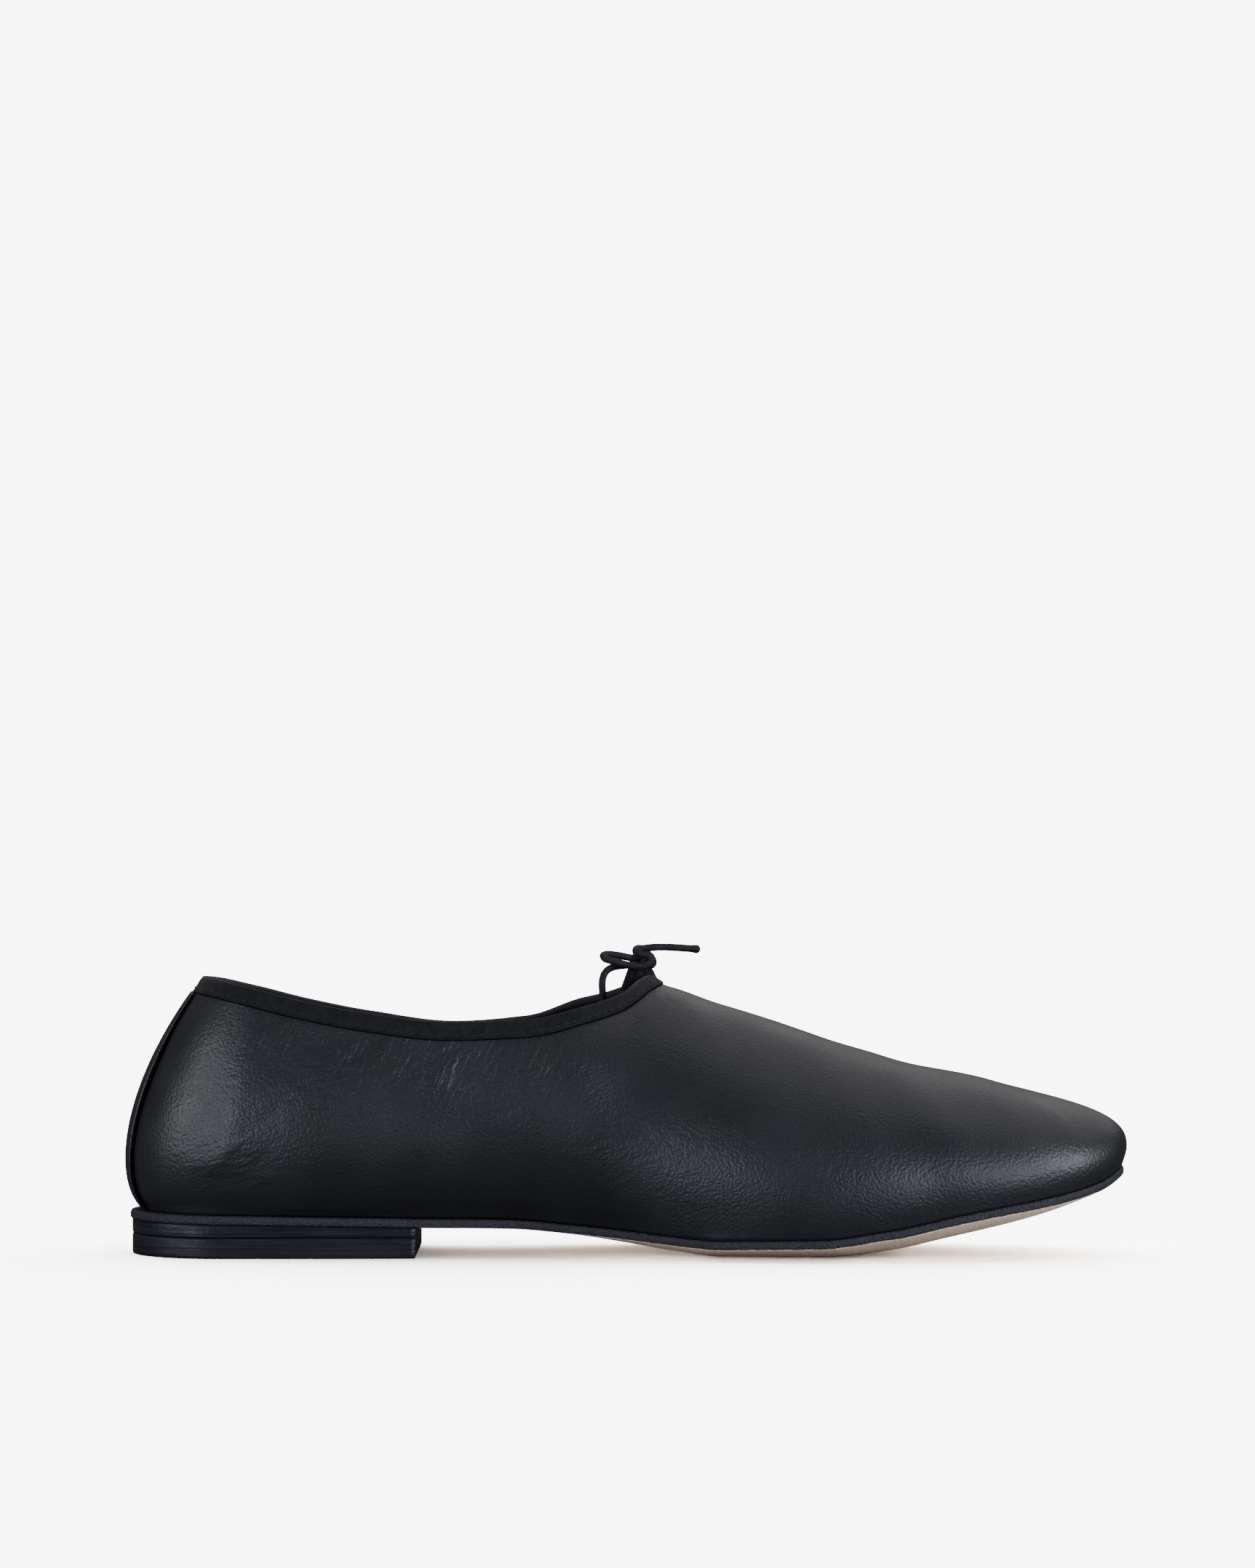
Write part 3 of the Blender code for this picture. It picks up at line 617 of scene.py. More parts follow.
# The upper: soft black calf drawn over the last in one piece and closed at the back. It leaves
# the sole at the feather line, rises round the opening and closes over the vamp.
COLLAR_RISE = 0.0603
COLLAR_BACK_ROUND = 0.0170
THROAT_ROUND = 0.0220
RIB_COLUMNS = (
    "station", "foot", "crest", "height", "dip", "inner", "outer", "ridge",
    "lean_inner", "lean_outer", "climb", "heading", "rise", "shoulder",
)
RIB_ROWS = (
    (0.000, 0.000, 0.075, 1.000, 0.000, 0.288, 0.288, 0.000, 51, 51, 52, 0, 0.18, 0.57),
    (0.060, 0.028, 0.088, 0.997, 0.008, 0.293, 0.293, 0.000, 50, 50, 57, 38, 0.20, 0.53),
    (0.117, 0.078, 0.122, 0.970, 0.018, 0.303, 0.306, 0.000, 47, 46, 68, 68, 0.24, 0.46),
    (0.177, 0.145, 0.174, 0.920, 0.022, 0.320, 0.327, 0.000, 44, 42, 76, 84, 0.29, 0.40),
    (0.250, 0.230, 0.238, 0.872, 0.025, 0.342, 0.360, 0.000, 44, 38, 78, 88, 0.31, 0.37),
    (0.333, 0.327, 0.319, 0.839, 0.032, 0.353, 0.386, 0.000, 46, 36, 76, 90, 0.34, 0.36),
    (0.410, 0.416, 0.393, 0.856, 0.018, 0.340, 0.378, 0.000, 44, 35, 68, 90, 0.36, 0.35),
    (0.487, 0.501, 0.457, 0.946, -0.015, 0.290, 0.305, 0.000, 34, 30, 52, 90, 0.35, 0.33),
    (0.523, 0.540, 0.496, 1.025, -0.012, 0.262, 0.266, 0.000, 28, 26, 40, 90, 0.35, 0.33),
    (0.535, 0.554, 0.513, 1.090, -0.004, 0.249, 0.250, 0.000, 27, 25, 17, 90, 0.388, 0.343),
    (0.543, 0.563, 0.521, 1.112, 0.000, 0.245, 0.245, 0.000, 26, 25, 0, 90, 0.43, 0.38),
    (0.563, 0.586, 0.536, 1.092, 0.000, 0.200, 0.200, -0.002, 25, 24, 0, 90, 0.43, 0.38),
    (0.590, 0.617, 0.558, 1.076, 0.000, 0.200, 0.200, -0.005, 24, 24, 0, 90, 0.42, 0.39),
    (0.650, 0.687, 0.617, 1.006, 0.000, 0.200, 0.200, -0.014, 24, 24, 0, 92, 0.39, 0.40),
    (0.710, 0.756, 0.675, 0.925, 0.000, 0.200, 0.200, -0.024, 24, 24, 0, 95, 0.36, 0.41),
    (0.780, 0.834, 0.737, 0.826, 0.000, 0.200, 0.200, -0.034, 24, 24, 0, 104, 0.30, 0.42),
    (0.850, 0.907, 0.795, 0.715, 0.000, 0.200, 0.200, -0.043, 25, 25, 0, 124, 0.25, 0.42),
    (0.923, 0.965, 0.845, 0.626, 0.000, 0.200, 0.200, -0.050, 26, 26, 0, 150, 0.23, 0.40),
    (1.000, 1.000, 0.876, 0.560, 0.000, 0.200, 0.200, -0.055, 26, 26, 0, 180, 0.23, 0.39),
)
THROAT = 0.543
ARCH_FROM, ARCH_FULLY = 0.480, 0.520
COLLAR_RIBS = 150
VAMP_RIBS = 84
RIB_STEPS = 92
# How far the leather's foot is lowered to close on the sole, and how widely, in stations, and in
# how many rounds the side below the throat is eased.
FOOT_DROP = 0.00044
THROAT_EASE, THROAT_ROUNDS = 0.045, 400
# Creases, seen from the side, in millimetres: place along the shoe and height, angle
# from level in degrees, half length, half width and depth. A negative depth is a ridge.
CREASES = (
    (-49.0, 49.0, 84, 7.0, 3.4, -0.14), (-42.5, 50.0, 80, 6.0, 1.6, 0.12),
    (-55.5, 50.5, 76, 5.5, 1.5, 0.12), (-62.0, 51.0, 70, 5.0, 1.7, 0.10),
    (-69.5, 52.0, 64, 5.5, 1.8, 0.10), (-34.0, 51.0, 98, 5.0, 1.6, 0.08),
    (-104.0, 27.0, 26, 10.0, 2.6, -0.20), (-99.0, 21.5, 22, 9.0, 2.2, 0.14),
    (-108.0, 34.5, 32, 7.0, 2.0, 0.12), (-92.0, 37.0, 28, 7.0, 2.0, 0.08),
    (-113.0, 44.0, 48, 6.0, 2.2, 0.08), (6.0, 31.0, 4, 11.0, 1.8, 0.05),
    (12.0, 27.0, 6, 9.0, 1.8, 0.04), (-12.0, 57.5, 62, 4.0, 1.4, 0.08),
)
LEATHER_BLACK = (0.0085, 0.0085, 0.0105)
LEATHER_WORN = (0.0115, 0.0115, 0.0145)
# Fine wrinkles: attribute, angle, pitch, length and depth, then the spots that have them, each
# a place along the shoe and a height, then how far it reaches each way, in millimetres.
WRINKLES = (("slanted", 62, 0.0013, 0.0060, 0.00036), ("waved", 16, 0.0016, 0.0050, 0.00024))
WRINKLE_SPOTS = {
    "slanted": ((-90, 58, 14, 7), (-66, 53, 20, 8), (-44, 49, 12, 9), (-20, 50, 9, 6)),
    "waved": ((-82, 44, 24, 10), (-100, 24, 18, 10), (6, 31, 20, 9), (-124, 58, 5, 6)),
}
# The counter: place along the shoe, width and depth of its rise and its dip, then the middle and
# reach of the heights that it takes up, in millimetres.
COUNTER_SWELLS = ((-78, 20, 1.5), (-112, 14, -1.3))
COUNTER_LEVEL = (32, 22)
RIBS = table(RIB_ROWS, RIB_COLUMNS)


def rib_value(name, station, flat_start=True, flat_end=True):
    return smooth(station, RIBS["station"], RIBS[name], flat_start, flat_end)


def crest(station, side):
    """The rib's upper end: the topline behind the throat, the vamp's ridge in front of it."""
    share = rib_value("crest", station, flat_end=False)
    x = along(share)
    from_back = x - along(RIBS["crest"][0])
    from_throat = along(rib_value("crest", THROAT, flat_end=False)) - x
    half = rib_value("inner" if side == INNER else "outer", station)
    half = half * rounded(from_back, COLLAR_BACK_ROUND) * rounded(from_throat, THROAT_ROUND)
    half = np.where(station < THROAT, half, 0)
    y = SEAT_MIDDLE + (rib_value("ridge", station) + side * half) * BALL_WIDTH
    height = rib_value("height", station, flat_end=False)
    height = height - (rib_value("dip", station) if side == OUTER else 0)
    return np.stack([x, y, sole_top(x, middle_line(share)) + height * COLLAR_RISE], -1)


def ridge_slope(station):
    """Fall of the vamp's ridge for each metre towards the toe, 0 round the opening."""
    small = 0.004
    low = crest(np.clip(station - small, THROAT, 1), INNER)
    high = crest(np.clip(station + small, THROAT, 1), INNER)
    run = np.where(station > THROAT, high[..., 0] - low[..., 0], 1.0)
    return np.where(station > THROAT, (high[..., 2] - low[..., 2]) / run, 0.0)


def throat_arch(half, side):
    """Rise, shoulder and climb of the throat's own arch, cut off at this half width."""
    up = np.linspace(0.35, 1, 261)
    station = np.array(THROAT)
    foot = edge(rib_value("foot", station), side)
    lean = math.radians(rib_value("lean_inner" if side == INNER else "lean_outer", station))
    rise, shoulder = rib_value("rise", station), rib_value("shoulder", station)
    top = crest(station, side)[2]
    start = np.array([abs(foot[1] - SEAT_MIDDLE), sole_top(*foot)])
    low = start + rise * COLLAR_RISE * np.array([math.sin(lean), math.cos(lean)])
    high = np.array([shoulder * COLLAR_RISE, top])
    end = np.array([0, top])
    t, r = up[:, None], 1 - up[:, None]
    arch = start * r**3 + 3 * low * r**2 * t + 3 * high * r * t**2 + end * t**3
    speed = 3 * ((low - start) * r**2 + 2 * (high - low) * r * t + (end - high) * t**2)
    cut = np.interp(half, arch[::-1, 0], up[::-1])
    across, upward = (np.interp(cut, up, speed[:, k]) for k in range(2))
    length = cut * np.hypot(across, upward) / (3 * COLLAR_RISE)
    return rise * cut, length, np.degrees(np.arctan2(upward, -across))


def leather(station, up, side):
    """Ribs as cubic curves, from up 0 at the feather line to up 1 at the crest.

    The first handle leans out from the sole's edge, the second comes in at the crest along
    its climb and heading.
    """
    foot_share = rib_value("foot", station)
    inset = sole_value("feather", foot_share) * FEATHER_INSET
    plan = inset_edge(foot_share, side, inset)
    seat = sole_top(plan[..., 0], plan[..., 1]) + SEAT_GAP
    foot = np.concatenate([plan, seat[..., None]], -1)
    lean = np.radians(rib_value("lean_inner" if side == INNER else "lean_outer", station))
    out = outward(foot_share, side)
    rising = np.concatenate([out * np.sin(lean)[..., None], np.cos(lean)[..., None]], -1)
    top = crest(station, side)
    rise, shoulder = rib_value("rise", station), rib_value("shoulder", station)
    climb = rib_value("climb", station)
    arch_rise, arch_shoulder, arch_climb = throat_arch(np.abs(top[..., 1] - SEAT_MIDDLE), side)
    near = np.clip((station - ARCH_FROM) / (ARCH_FULLY - ARCH_FROM), 0, 1)
    near = np.where(station < THROAT, near * near * (3 - 2 * near), 0)
    rise = rise + (arch_rise - rise) * near
    shoulder = shoulder + (arch_shoulder - shoulder) * near
    climb = climb + (arch_climb - climb) * near
    heading = np.radians(rib_value("heading", station, False, False))
    lift = np.tan(np.radians(climb)) + ridge_slope(station) * np.cos(heading)
    arrival = unit(np.stack([np.cos(heading), -side * np.sin(heading), lift], -1))
    low = foot + rising * (rise * COLLAR_RISE)[..., None]
    high = top - arrival * (shoulder * COLLAR_RISE)[..., None]
    up = np.asarray(up, float)[..., None]
    down = 1 - up
    return foot * down**3 + 3 * low * down**2 * up + 3 * high * down * up**2 + top * up**3


def collar_stations(count):
    """Stations from the back seam to the throat, evenly shared by the runs and the turns."""
    fine = np.linspace(0, THROAT, 6001)
    top = crest(fine, INNER)[:, :2]
    foot = edge(rib_value("foot", fine), INNER)
    steps = np.diff(top, axis=0)
    turns = np.abs(np.diff(np.unwrap(np.arctan2(steps[:, 1], steps[:, 0]))))
    amounts = (
        np.linalg.norm(steps, axis=1),
        np.linalg.norm(np.diff(foot, axis=0), axis=1),
        np.append(turns, 0),
    )
    share = sum(np.concatenate([[0], np.cumsum(each)]) / each.sum() for each in amounts)
    return np.interp(np.linspace(0, len(amounts), count + 1), share, fine)


def around(stations, up):
    """Both sides' ribs as one closed round of rows: inner from heel to toe, outer back again."""
    near = leather(stations[:, None], up[None, :], INNER)
    far = leather(stations[:, None], up[None, :], OUTER)
    return np.concatenate([near, far[-2:0:-1]])


def grid_normals(grid):
    """Unit normals of a wrapped grid, from the cross product of its two gradients."""
    rows = np.roll(grid, -1, 0) - np.roll(grid, 1, 0)
    return unit(np.cross(rows, np.gradient(grid, axis=1)))


def crease_depth(points):
    """Sum of the listed creases: each a soft trough, with a low ridge along each side."""
    x, z = points[..., 0] * 1000, points[..., 2] * 1000
    total = np.zeros(x.shape)
    for place, height, angle, length, width, depth in CREASES:
        turn = math.radians(angle)
        run = (x - place) * math.cos(turn) + (z - height) * math.sin(turn)
        off = (z - height) * math.cos(turn) - (x - place) * math.sin(turn)
        off = off + 0.9 * np.sin(run * 0.5 + place)
        window = np.exp(-((run / length) ** 4))
        total += depth * window * (1 - 0.5 * (off / width) ** 2) * np.exp(-0.5 * (off / width) ** 2)
    return total / 1000


def counter_swell(points):
    """The heel counter's soft swell on both sides: a broad rise, with a dip where it turns back."""
    x, z = points[..., 0] * 1000, points[..., 2] * 1000
    level, reach = COUNTER_LEVEL
    swell = sum(d * np.exp(-(((x - place) / width) ** 2)) for place, width, d in COUNTER_SWELLS)
    return np.exp(-(((z - level) / reach) ** 4)) * swell / 1000


def pebble_group():
    """Shared leather grain: pebbles from Voronoi cells bent by noise, with finer pores on them."""
    group, taken, given = new_group("pebble_grain", (("Scale", "Float"),), "Height")
    place = add_node(group, "ShaderNodeTexCoord").outputs["Object"]
    bend = add_node(group, "ShaderNodeTexNoise", {"Vector": place}, scale=700.0)
    shifted = add_node(
        group, "ShaderNodeVectorMath", {0: bend.outputs["Color"], 2: place}, operation="MULTIPLY_ADD"
    )
    shifted.inputs[1].default_value = (0.0008, 0.0008, 0.0008)
    cells = add_node(
        group, "ShaderNodeTexVoronoi", {"Vector": shifted.outputs[0], "Scale": taken["Scale"]},
        feature="SMOOTH_F1", smoothness=0.6,
    )
    pores = add_node(group, "ShaderNodeTexNoise", {"Vector": place}, scale=3800.0).outputs["Fac"]
    domes = ranged(group, cells.outputs["Distance"], 1, 0)
    group.links.new(math_node(group, "MULTIPLY_ADD", pores, 0.35, domes), given["Height"])
    return group


PEBBLES = pebble_group()


def wrinkle_lines(tree, angle, pitch, length):
    """Broken fine lines at a slant in the side view: noise a pitch across and a length along."""
    slant = math.radians(angle)
    place = add_node(tree, "ShaderNodeTexCoord").outputs["Object"]
    shares = []
    for way in (
        (-math.sin(slant) / pitch, 0, math.cos(slant) / pitch),
        (math.cos(slant) / length, 0, math.sin(slant) / length),
    ):
        share = add_node(tree, "ShaderNodeVectorMath", {0: place}, operation="DOT_PRODUCT")
        share.inputs[1].default_value = way
        shares.append(share.outputs["Value"])
    spot = add_node(tree, "ShaderNodeCombineXYZ", {"X": shares[0], "Y": shares[1]})
    return add_node(
        tree, "ShaderNodeTexNoise", {"Vector": spot.outputs[0]}, scale=1.0, detail=1.0
    ).outputs["Fac"]


def leather_material():
    """Black calf: fine pebble grain, short wrinkles where the attribute says, a soft gloss."""
    made, tree = plain_material("upper_leather", LEATHER_BLACK, 0.42, 0.38)
    colour = blend_colour(tree, clouds(tree, 45), LEATHER_BLACK, LEATHER_WORN)
    normal = None
    for mask, angle, pitch, length, depth in WRINKLES:
        lines = wrinkle_lines(tree, angle, pitch, length)
        folds = math_node(tree, "MULTIPLY", lines, attribute(tree, mask))
        normal = bumped(tree, folds, depth, normal)
    normal = bumped(tree, use_group(tree, PEBBLES, Scale=1350), 0.00009, normal)
    dress(tree, colour, normal, ranged(tree, clouds(tree, 70), 0.38, 0.46))
    return made


UPPER_LEATHER = leather_material()


def wrinkle_masks(points):
    """How wrinkled each point is, from 0 to 1: a sum of round spots in the side view."""
    x, z = points[..., 0] * 1000, points[..., 2] * 1000
    masks = {}
    for name, spots in WRINKLE_SPOTS.items():
        marks = (np.exp(-(((x - a) / c) ** 2 + ((z - b) / d) ** 2)) for a, b, c, d in spots)
        masks[name] = np.clip(sum(marks), 0, 1)
    return masks


def relaxed(grid, weight, rounds):
    """The grid with each row drawn towards its neighbours' middle, as far as weight allows."""
    for _ in range(rounds):
        middle = (np.roll(grid, 1, 0) + np.roll(grid, -1, 0)) / 2
        grid = grid + weight * (middle - grid) / 2
    return grid


def make_upper():
    vamp = np.linspace(THROAT, 1, VAMP_RIBS + 1)[1:]
    stations = np.concatenate([collar_stations(COLLAR_RIBS), vamp])
    up = 1 - (1 - np.linspace(0, 1, RIB_STEPS + 1)) ** 1.25
    near_throat = np.exp(-(((stations - THROAT) / THROAT_EASE) ** 2))
    near_throat = np.concatenate([near_throat, near_throat[-2:0:-1]])
    below_throat = np.clip(up / 0.1, 0, 1) * np.clip((0.8 - up) / 0.3, 0, 1)
    weight = (near_throat[:, None] * below_throat[None, :])[..., None]
    grid = relaxed(around(stations, up), weight, THROAT_ROUNDS)
    normals = grid_normals(grid)
    outside = np.sign((normals * (grid - grid.mean((0, 1)))).sum(-1, keepdims=True).mean())
    ends = np.clip(up / 0.05, 0, 1) * np.clip((1 - up) / 0.08, 0, 1)
    depth = crease_depth(grid) * np.where(grid[..., 1] < SEAT_MIDDLE, 1.0, 0.6)
    depth = (depth - counter_swell(grid)) * ends
    points = grid - normals * outside * depth[..., None]
    points[..., 2] -= FOOT_DROP * np.clip(1 - up / 0.03, 0, 1)
    faces = grid_faces(*grid.shape[:2], wrap=True)
    upper = make_piece(
        "upper_leather", points, faces, [UPPER_LEATHER, LINING], ["upper"],
        wrinkle_masks(grid), weld=1e-5,
    )
    wall = upper.modifiers.new("wall", "SOLIDIFY")
    wall.thickness = WALL
    wall.offset = -1
    wall.material_offset = 1


make_upper()


# The back strip: a strip of the same leather stitched over the back seam, thin at its edges,
# from the binding down to the sole. Its cut edges show as two near-black lines, partly their own
# colour and partly painted shade.
STRIP_REACH = 0.0255
STRIP_FOOT = 0.0
STRIP_TOP = 0.951
STRIP_THICKNESS = 0.0008
STRIP_BEAD, BEAD_SIDES = 0.00030, 10
# Near black for the cut and turned edges: partly their own colour, partly painted shade, darker than
# the leather.
EDGE_AND_SHADE_BLACK, EDGE_AND_SHADE_FADED = (0.0012, 0.0012, 0.0015), (0.0030, 0.0030, 0.0036)


def run_along(path):
    """The length along a path at each of its points."""
    return np.concatenate([[0], np.cumsum(np.linalg.norm(np.diff(path, axis=0), axis=1))])


def tube(path, radii, sides=20, closed=False):
    """Rings of a round section carried along path, turned as little as the path allows.

    On a closed path the turn left over at its end is shared out evenly along it.
    """
    tangent = np.gradient(path, axis=0)
    if closed:
        tangent = np.roll(path, -1, 0) - np.roll(path, 1, 0)
    tangent = unit(tangent)
    frames = [unit(np.cross(tangent[0], (0.3, 0.5, 0.8)))]
    for way in tangent[1:]:
        frames.append(unit(frames[-1] - way * (frames[-1] @ way)))
    side = np.array(frames)
    other = np.cross(tangent, side)
    slip = math.atan2(side[-1] @ other[0], side[-1] @ side[0]) if closed else 0.0
    back = -slip * np.arange(len(path)) / len(path)
    turn = back[:, None] + np.linspace(0, 2 * math.pi, sides, endpoint=False)[None, :]
    ring = side[:, None] * np.cos(turn)[..., None] + other[:, None] * np.sin(turn)[..., None]
    return path[:, None] + ring * np.asarray(radii)[:, None, None]


def tube_faces(rows, sides, closed):
    i, j = np.meshgrid(np.arange(rows - (not closed)), np.arange(sides), indexing="ij")
    after, beside = (i + 1) % rows * sides, (j + 1) % sides
    return np.stack([i * sides + j, after + j, after + beside, i * sides + beside], -1).reshape(-1, 4)


def round_ends(path, radius):
    """The radius along a path that falls to nothing at both ends, as a ball's does."""
    run = run_along(path)
    ends = np.minimum(run, run[-1] - run)
    return np.maximum(radius * np.sqrt(1 - np.clip(1 - ends / radius, 0, 1) ** 2), 1e-6)


def edge_and_shade_material():
    """Matte near black of a cut or turned edge, a little uneven, darkened further as painted shade.
    """
    made, tree = plain_material("edge_and_shade", EDGE_AND_SHADE_BLACK, 0.9, 0.05)
    dress(tree, blend_colour(tree, clouds(tree, 900), EDGE_AND_SHADE_BLACK, EDGE_AND_SHADE_FADED))
    return made


EDGE_AND_SHADE = edge_and_shade_material()


def make_back_strip():
    """The leather's own surface round the back seam, raised by a flat-topped profile."""
    reach = np.linspace(-1, 1, 41)
    up = np.linspace(STRIP_FOOT, STRIP_TOP, 90)
    near = leather(np.abs(reach[:21, None]) * STRIP_REACH, up[None, :], INNER)
    far = leather(reach[21:, None] * STRIP_REACH, up[None, :], OUTER)
    face = np.concatenate([near, far])
    normal = unit(np.cross(np.gradient(face, axis=0), np.gradient(face, axis=1)))
    normal *= -np.sign(normal[..., 0].mean())
    profile = np.clip((1 - np.abs(reach)) / 0.06, 0, 1)
    lift = STRIP_THICKNESS * np.sqrt(1 - (1 - profile) ** 2)
    outer = face + normal * (GAP / 2 + lift[:, None, None])
    inner = face + normal * GAP / 4
    rows, columns = face.shape[:2]
    border = border_of(rows, columns)
    following = np.roll(border, -1)
    wall = np.stack([border, following, following + face.size // 3, border + face.size // 3], -1)
    under = grid_faces(rows, columns, face.size // 3)[:, ::-1]
    faces = np.concatenate([grid_faces(rows, columns), under, wall])
    points = np.concatenate([outer.reshape(-1, 3), inner.reshape(-1, 3)])
    make_piece(
        "back_strip_leather", points, faces, [UPPER_LEATHER], ["back_strip"],
        {"slanted": np.zeros(len(points)), "waved": np.zeros(len(points))},
    )
    # Beads along the strip's two cut edges: real edges, made near black as painted shade along them.
    for side, row in (("near", 0), ("far", -1)):
        path = face[row] + normal[row] * (GAP / 2 + 0.4 * STRIP_THICKNESS)
        rings = tube(path, round_ends(path, STRIP_BEAD), BEAD_SIDES)
        joins = tube_faces(len(path), BEAD_SIDES, False)
        make_piece("strip_edge_and_shade_" + side, rings, joins, [EDGE_AND_SHADE], [])


make_back_strip()


# The binding: black ribbed ribbon folded over the topline and stitched through near its lower
# edge. The bow's cord runs inside its fold and gathers it a little at the throat.
BINDING_HEIGHT = 0.0044
BINDING_THICKNESS = 0.00045
BINDING_INSIDE = 0.0036
LINING_GAP = 0.0002
RIBBON_BLACK, RIBBON_FADED = (0.0030, 0.0030, 0.0040), (0.008, 0.008, 0.0105)
THREAD_BLACK, THREAD_FADED = (0.007, 0.007, 0.010), (0.011, 0.011, 0.014)
RIB_PITCH = 0.00042
GATHER_HEIGHT, GATHER_REACH = 0.00005, 0.016
NECK_REACH, NECK_PULL = 0.0050, (0.0010, 0.0, -0.0001)
# The bead at the ribbon's lower edge is painted shade: near black, for the shadow line under the
# ribbon.
HEM_SHADE_RADIUS, HEM_SHADE_SIDES = 0.00020, 8
RIBBON_RINGS = 360
LEATHER_SAMPLES = (500, 24)
# The neck's foot: how high it reaches down at each place along the shoe, over the fold in front.
NECK_FOOT = ((-0.0020, 0.0030, 0.0044, 0.0058, 0.0075), (0.0680, 0.0692, 0.0715, 0.0721, 0.0717))
NECK_TOP = 0.0743
# The neck's half sizes along and across the shoe and its middle, each at its foot and its top.
NECK_ALONG, NECK_ACROSS, NECK_MIDDLE = (0.0044, 0.0029), (0.0028, 0.0021), (0.0028, 0.0032)
NECK_ASIDE, NECK_WALL = 0.0006, 0.0004


def points_at(at, run, path):
    """The path's points at the given lengths along it."""
    return np.stack([np.interp(at, run, path[:, k]) for k in range(3)], -1)


def collar_loop(count):
    """The topline as a closed loop of points, evenly spaced, starting at the back seam."""
    stations = collar_stations(1200)
    near, far = crest(stations, INNER), crest(stations, OUTER)
    loop = np.concatenate([near, far[-2::-1]])
    run = run_along(loop)
    at = np.linspace(0, run[-1], count, endpoint=False)
    return points_at(at, run, loop), at - run[len(near) - 1]


def leather_samples():
    """Points and outward normals of the leather, dense near the topline."""
    rows, columns = LEATHER_SAMPLES
    stations = np.concatenate([collar_stations(rows), np.linspace(THROAT, 0.60, 70)[1:]])
    up = 1 - 0.14 * np.linspace(0, 1, columns)[::-1]
    places, normals = [], []
    for side in (INNER, OUTER):
        grid = leather(stations[:, None], up[None, :], side)
        normal = -side * unit(np.cross(np.gradient(grid, axis=0), np.gradient(grid, axis=1)))
        places.append(grid.reshape(-1, 3))
        normals.append(normal.reshape(-1, 3))
    return np.concatenate(places), np.concatenate(normals)


def laid_on(samples, points):
    """Each point moved onto the tangent plane of its nearest leather sample, with the normal."""
    places, normals = samples
    flat = points.reshape(-1, 3)
    nearest = np.empty(len(flat), int)
    square = (places**2).sum(1)
    for start in range(0, len(flat), 400):
        block = flat[start:start + 400]
        nearest[start:start + 400] = (square - 2 * block @ places.T).argmin(1)
    normal = normals[nearest]
    fall = ((flat - places[nearest]) * normal).sum(1, keepdims=True)
    return (flat - normal * fall).reshape(points.shape), normal.reshape(points.shape)


def ribbon_material():
    """Fine ribs across the ribbon, from the length along it kept in the attribute."""
    made, tree = plain_material("ribbon", RIBBON_BLACK, 0.72, 0.14)
    shader = tree.nodes["Principled BSDF"]
    shader.inputs["Sheen Weight"].default_value = 0.08
    shader.inputs["Sheen Roughness"].default_value = 0.4
    turns = math_node(tree, "MULTIPLY", attribute(tree, "run"), 2 * math.pi / RIB_PITCH)
    ribs = math_node(tree, "SINE", turns)
    colour = blend_colour(tree, clouds(tree, 500), RIBBON_BLACK, RIBBON_FADED)
    dress(tree, colour, bumped(tree, clouds(tree, 2600), 0.00005, bumped(tree, ribs, 0.00003)))
    return made


RIBBON = ribbon_material()


def ribbon_lines():
    """The topline with its outward normals and the way down over the leather at each point."""
    loop, run = collar_loop(RIBBON_RINGS * 2)
    tangent = unit(np.roll(loop, -1, 0) - np.roll(loop, 1, 0))
    samples = leather_samples()
    _, normal = laid_on(samples, loop)
    normal = unit(normal - tangent * (normal * tangent).sum(1, keepdims=True))
    down = unit(np.cross(tangent, normal))
    return samples, loop, run, normal, -down * np.sign(down[:, 2:])


def make_binding():
    """A closed profile of a folded ribbon at each point of the topline.

    The outer leg lies on the leather, the inner one on the lining, and the fold over them is
    half an ellipse. Gathers are waves along the topline that fade away from the throat.
    """
    samples, loop, run, normal, down = ribbon_lines()
    near_throat = np.exp(-((run / GATHER_REACH) ** 2))
    gather = GATHER_HEIGHT * np.sin(run * 2 * math.pi / 0.0026) * near_throat
    gather = gather + GATHER_HEIGHT * np.sin(run * 2 * math.pi / 0.0071 + 1.3)
    neck = np.exp(-((run / NECK_REACH) ** 2))

    def leg(reaches, depth, plump):
        lines = []
        for reach, share in zip(reaches, plump):
            place, turned = laid_on(samples, loop + down * reach)
            lines.append(place + turned * (depth + share + gather)[:, None])
        return lines

    legs = np.linspace(1, 0.12, 7)
    swell = 0.00022 * np.exp(-(((1 - legs) - 0.75) / 0.22) ** 2)
    outer = leg(legs * BINDING_HEIGHT, GAP / 2 + BINDING_THICKNESS, swell)
    inner = leg(legs * BINDING_INSIDE, -(WALL + LINING_GAP + BINDING_THICKNESS), -swell)
    reach_out = WALL / 2 + GAP + BINDING_THICKNESS
    over = []
    for angle in np.radians(np.linspace(12, 168, 9)):
        side, top = math.cos(angle) * reach_out, math.sin(angle) * BINDING_THICKNESS
        over.append(loop + normal * (side + gather * side - WALL / 2)[:, None] - down * top)
    back = leg(legs * BINDING_INSIDE, -(WALL + LINING_GAP / 4), -swell)
    front = leg(legs * BINDING_HEIGHT, GAP / 4, swell)
    fold = [loop - down * GAP / 2 - normal * WALL, loop - down * GAP / 2]
    rings = np.stack(outer + over + inner[::-1] + back + fold + front[::-1], 1)
    lift = np.concatenate([
        (1 - legs) ** 2, np.ones(len(over)), ((1 - legs) ** 2)[::-1],
        (1 - legs) ** 2, np.ones(2), ((1 - legs) ** 2)[::-1],
    ])
    pull = neck[:, None, None] * lift[None, :, None]
    rings = rings + pull * np.array(NECK_PULL)
    rows, columns = rings.shape[:2]
    make_piece(
        "topline_ribbon", rings, tube_faces(rows, columns, True), [RIBBON],
        ["collar_binding"], {"run": np.repeat(run, columns)},
    )
    return samples, loop, run, down


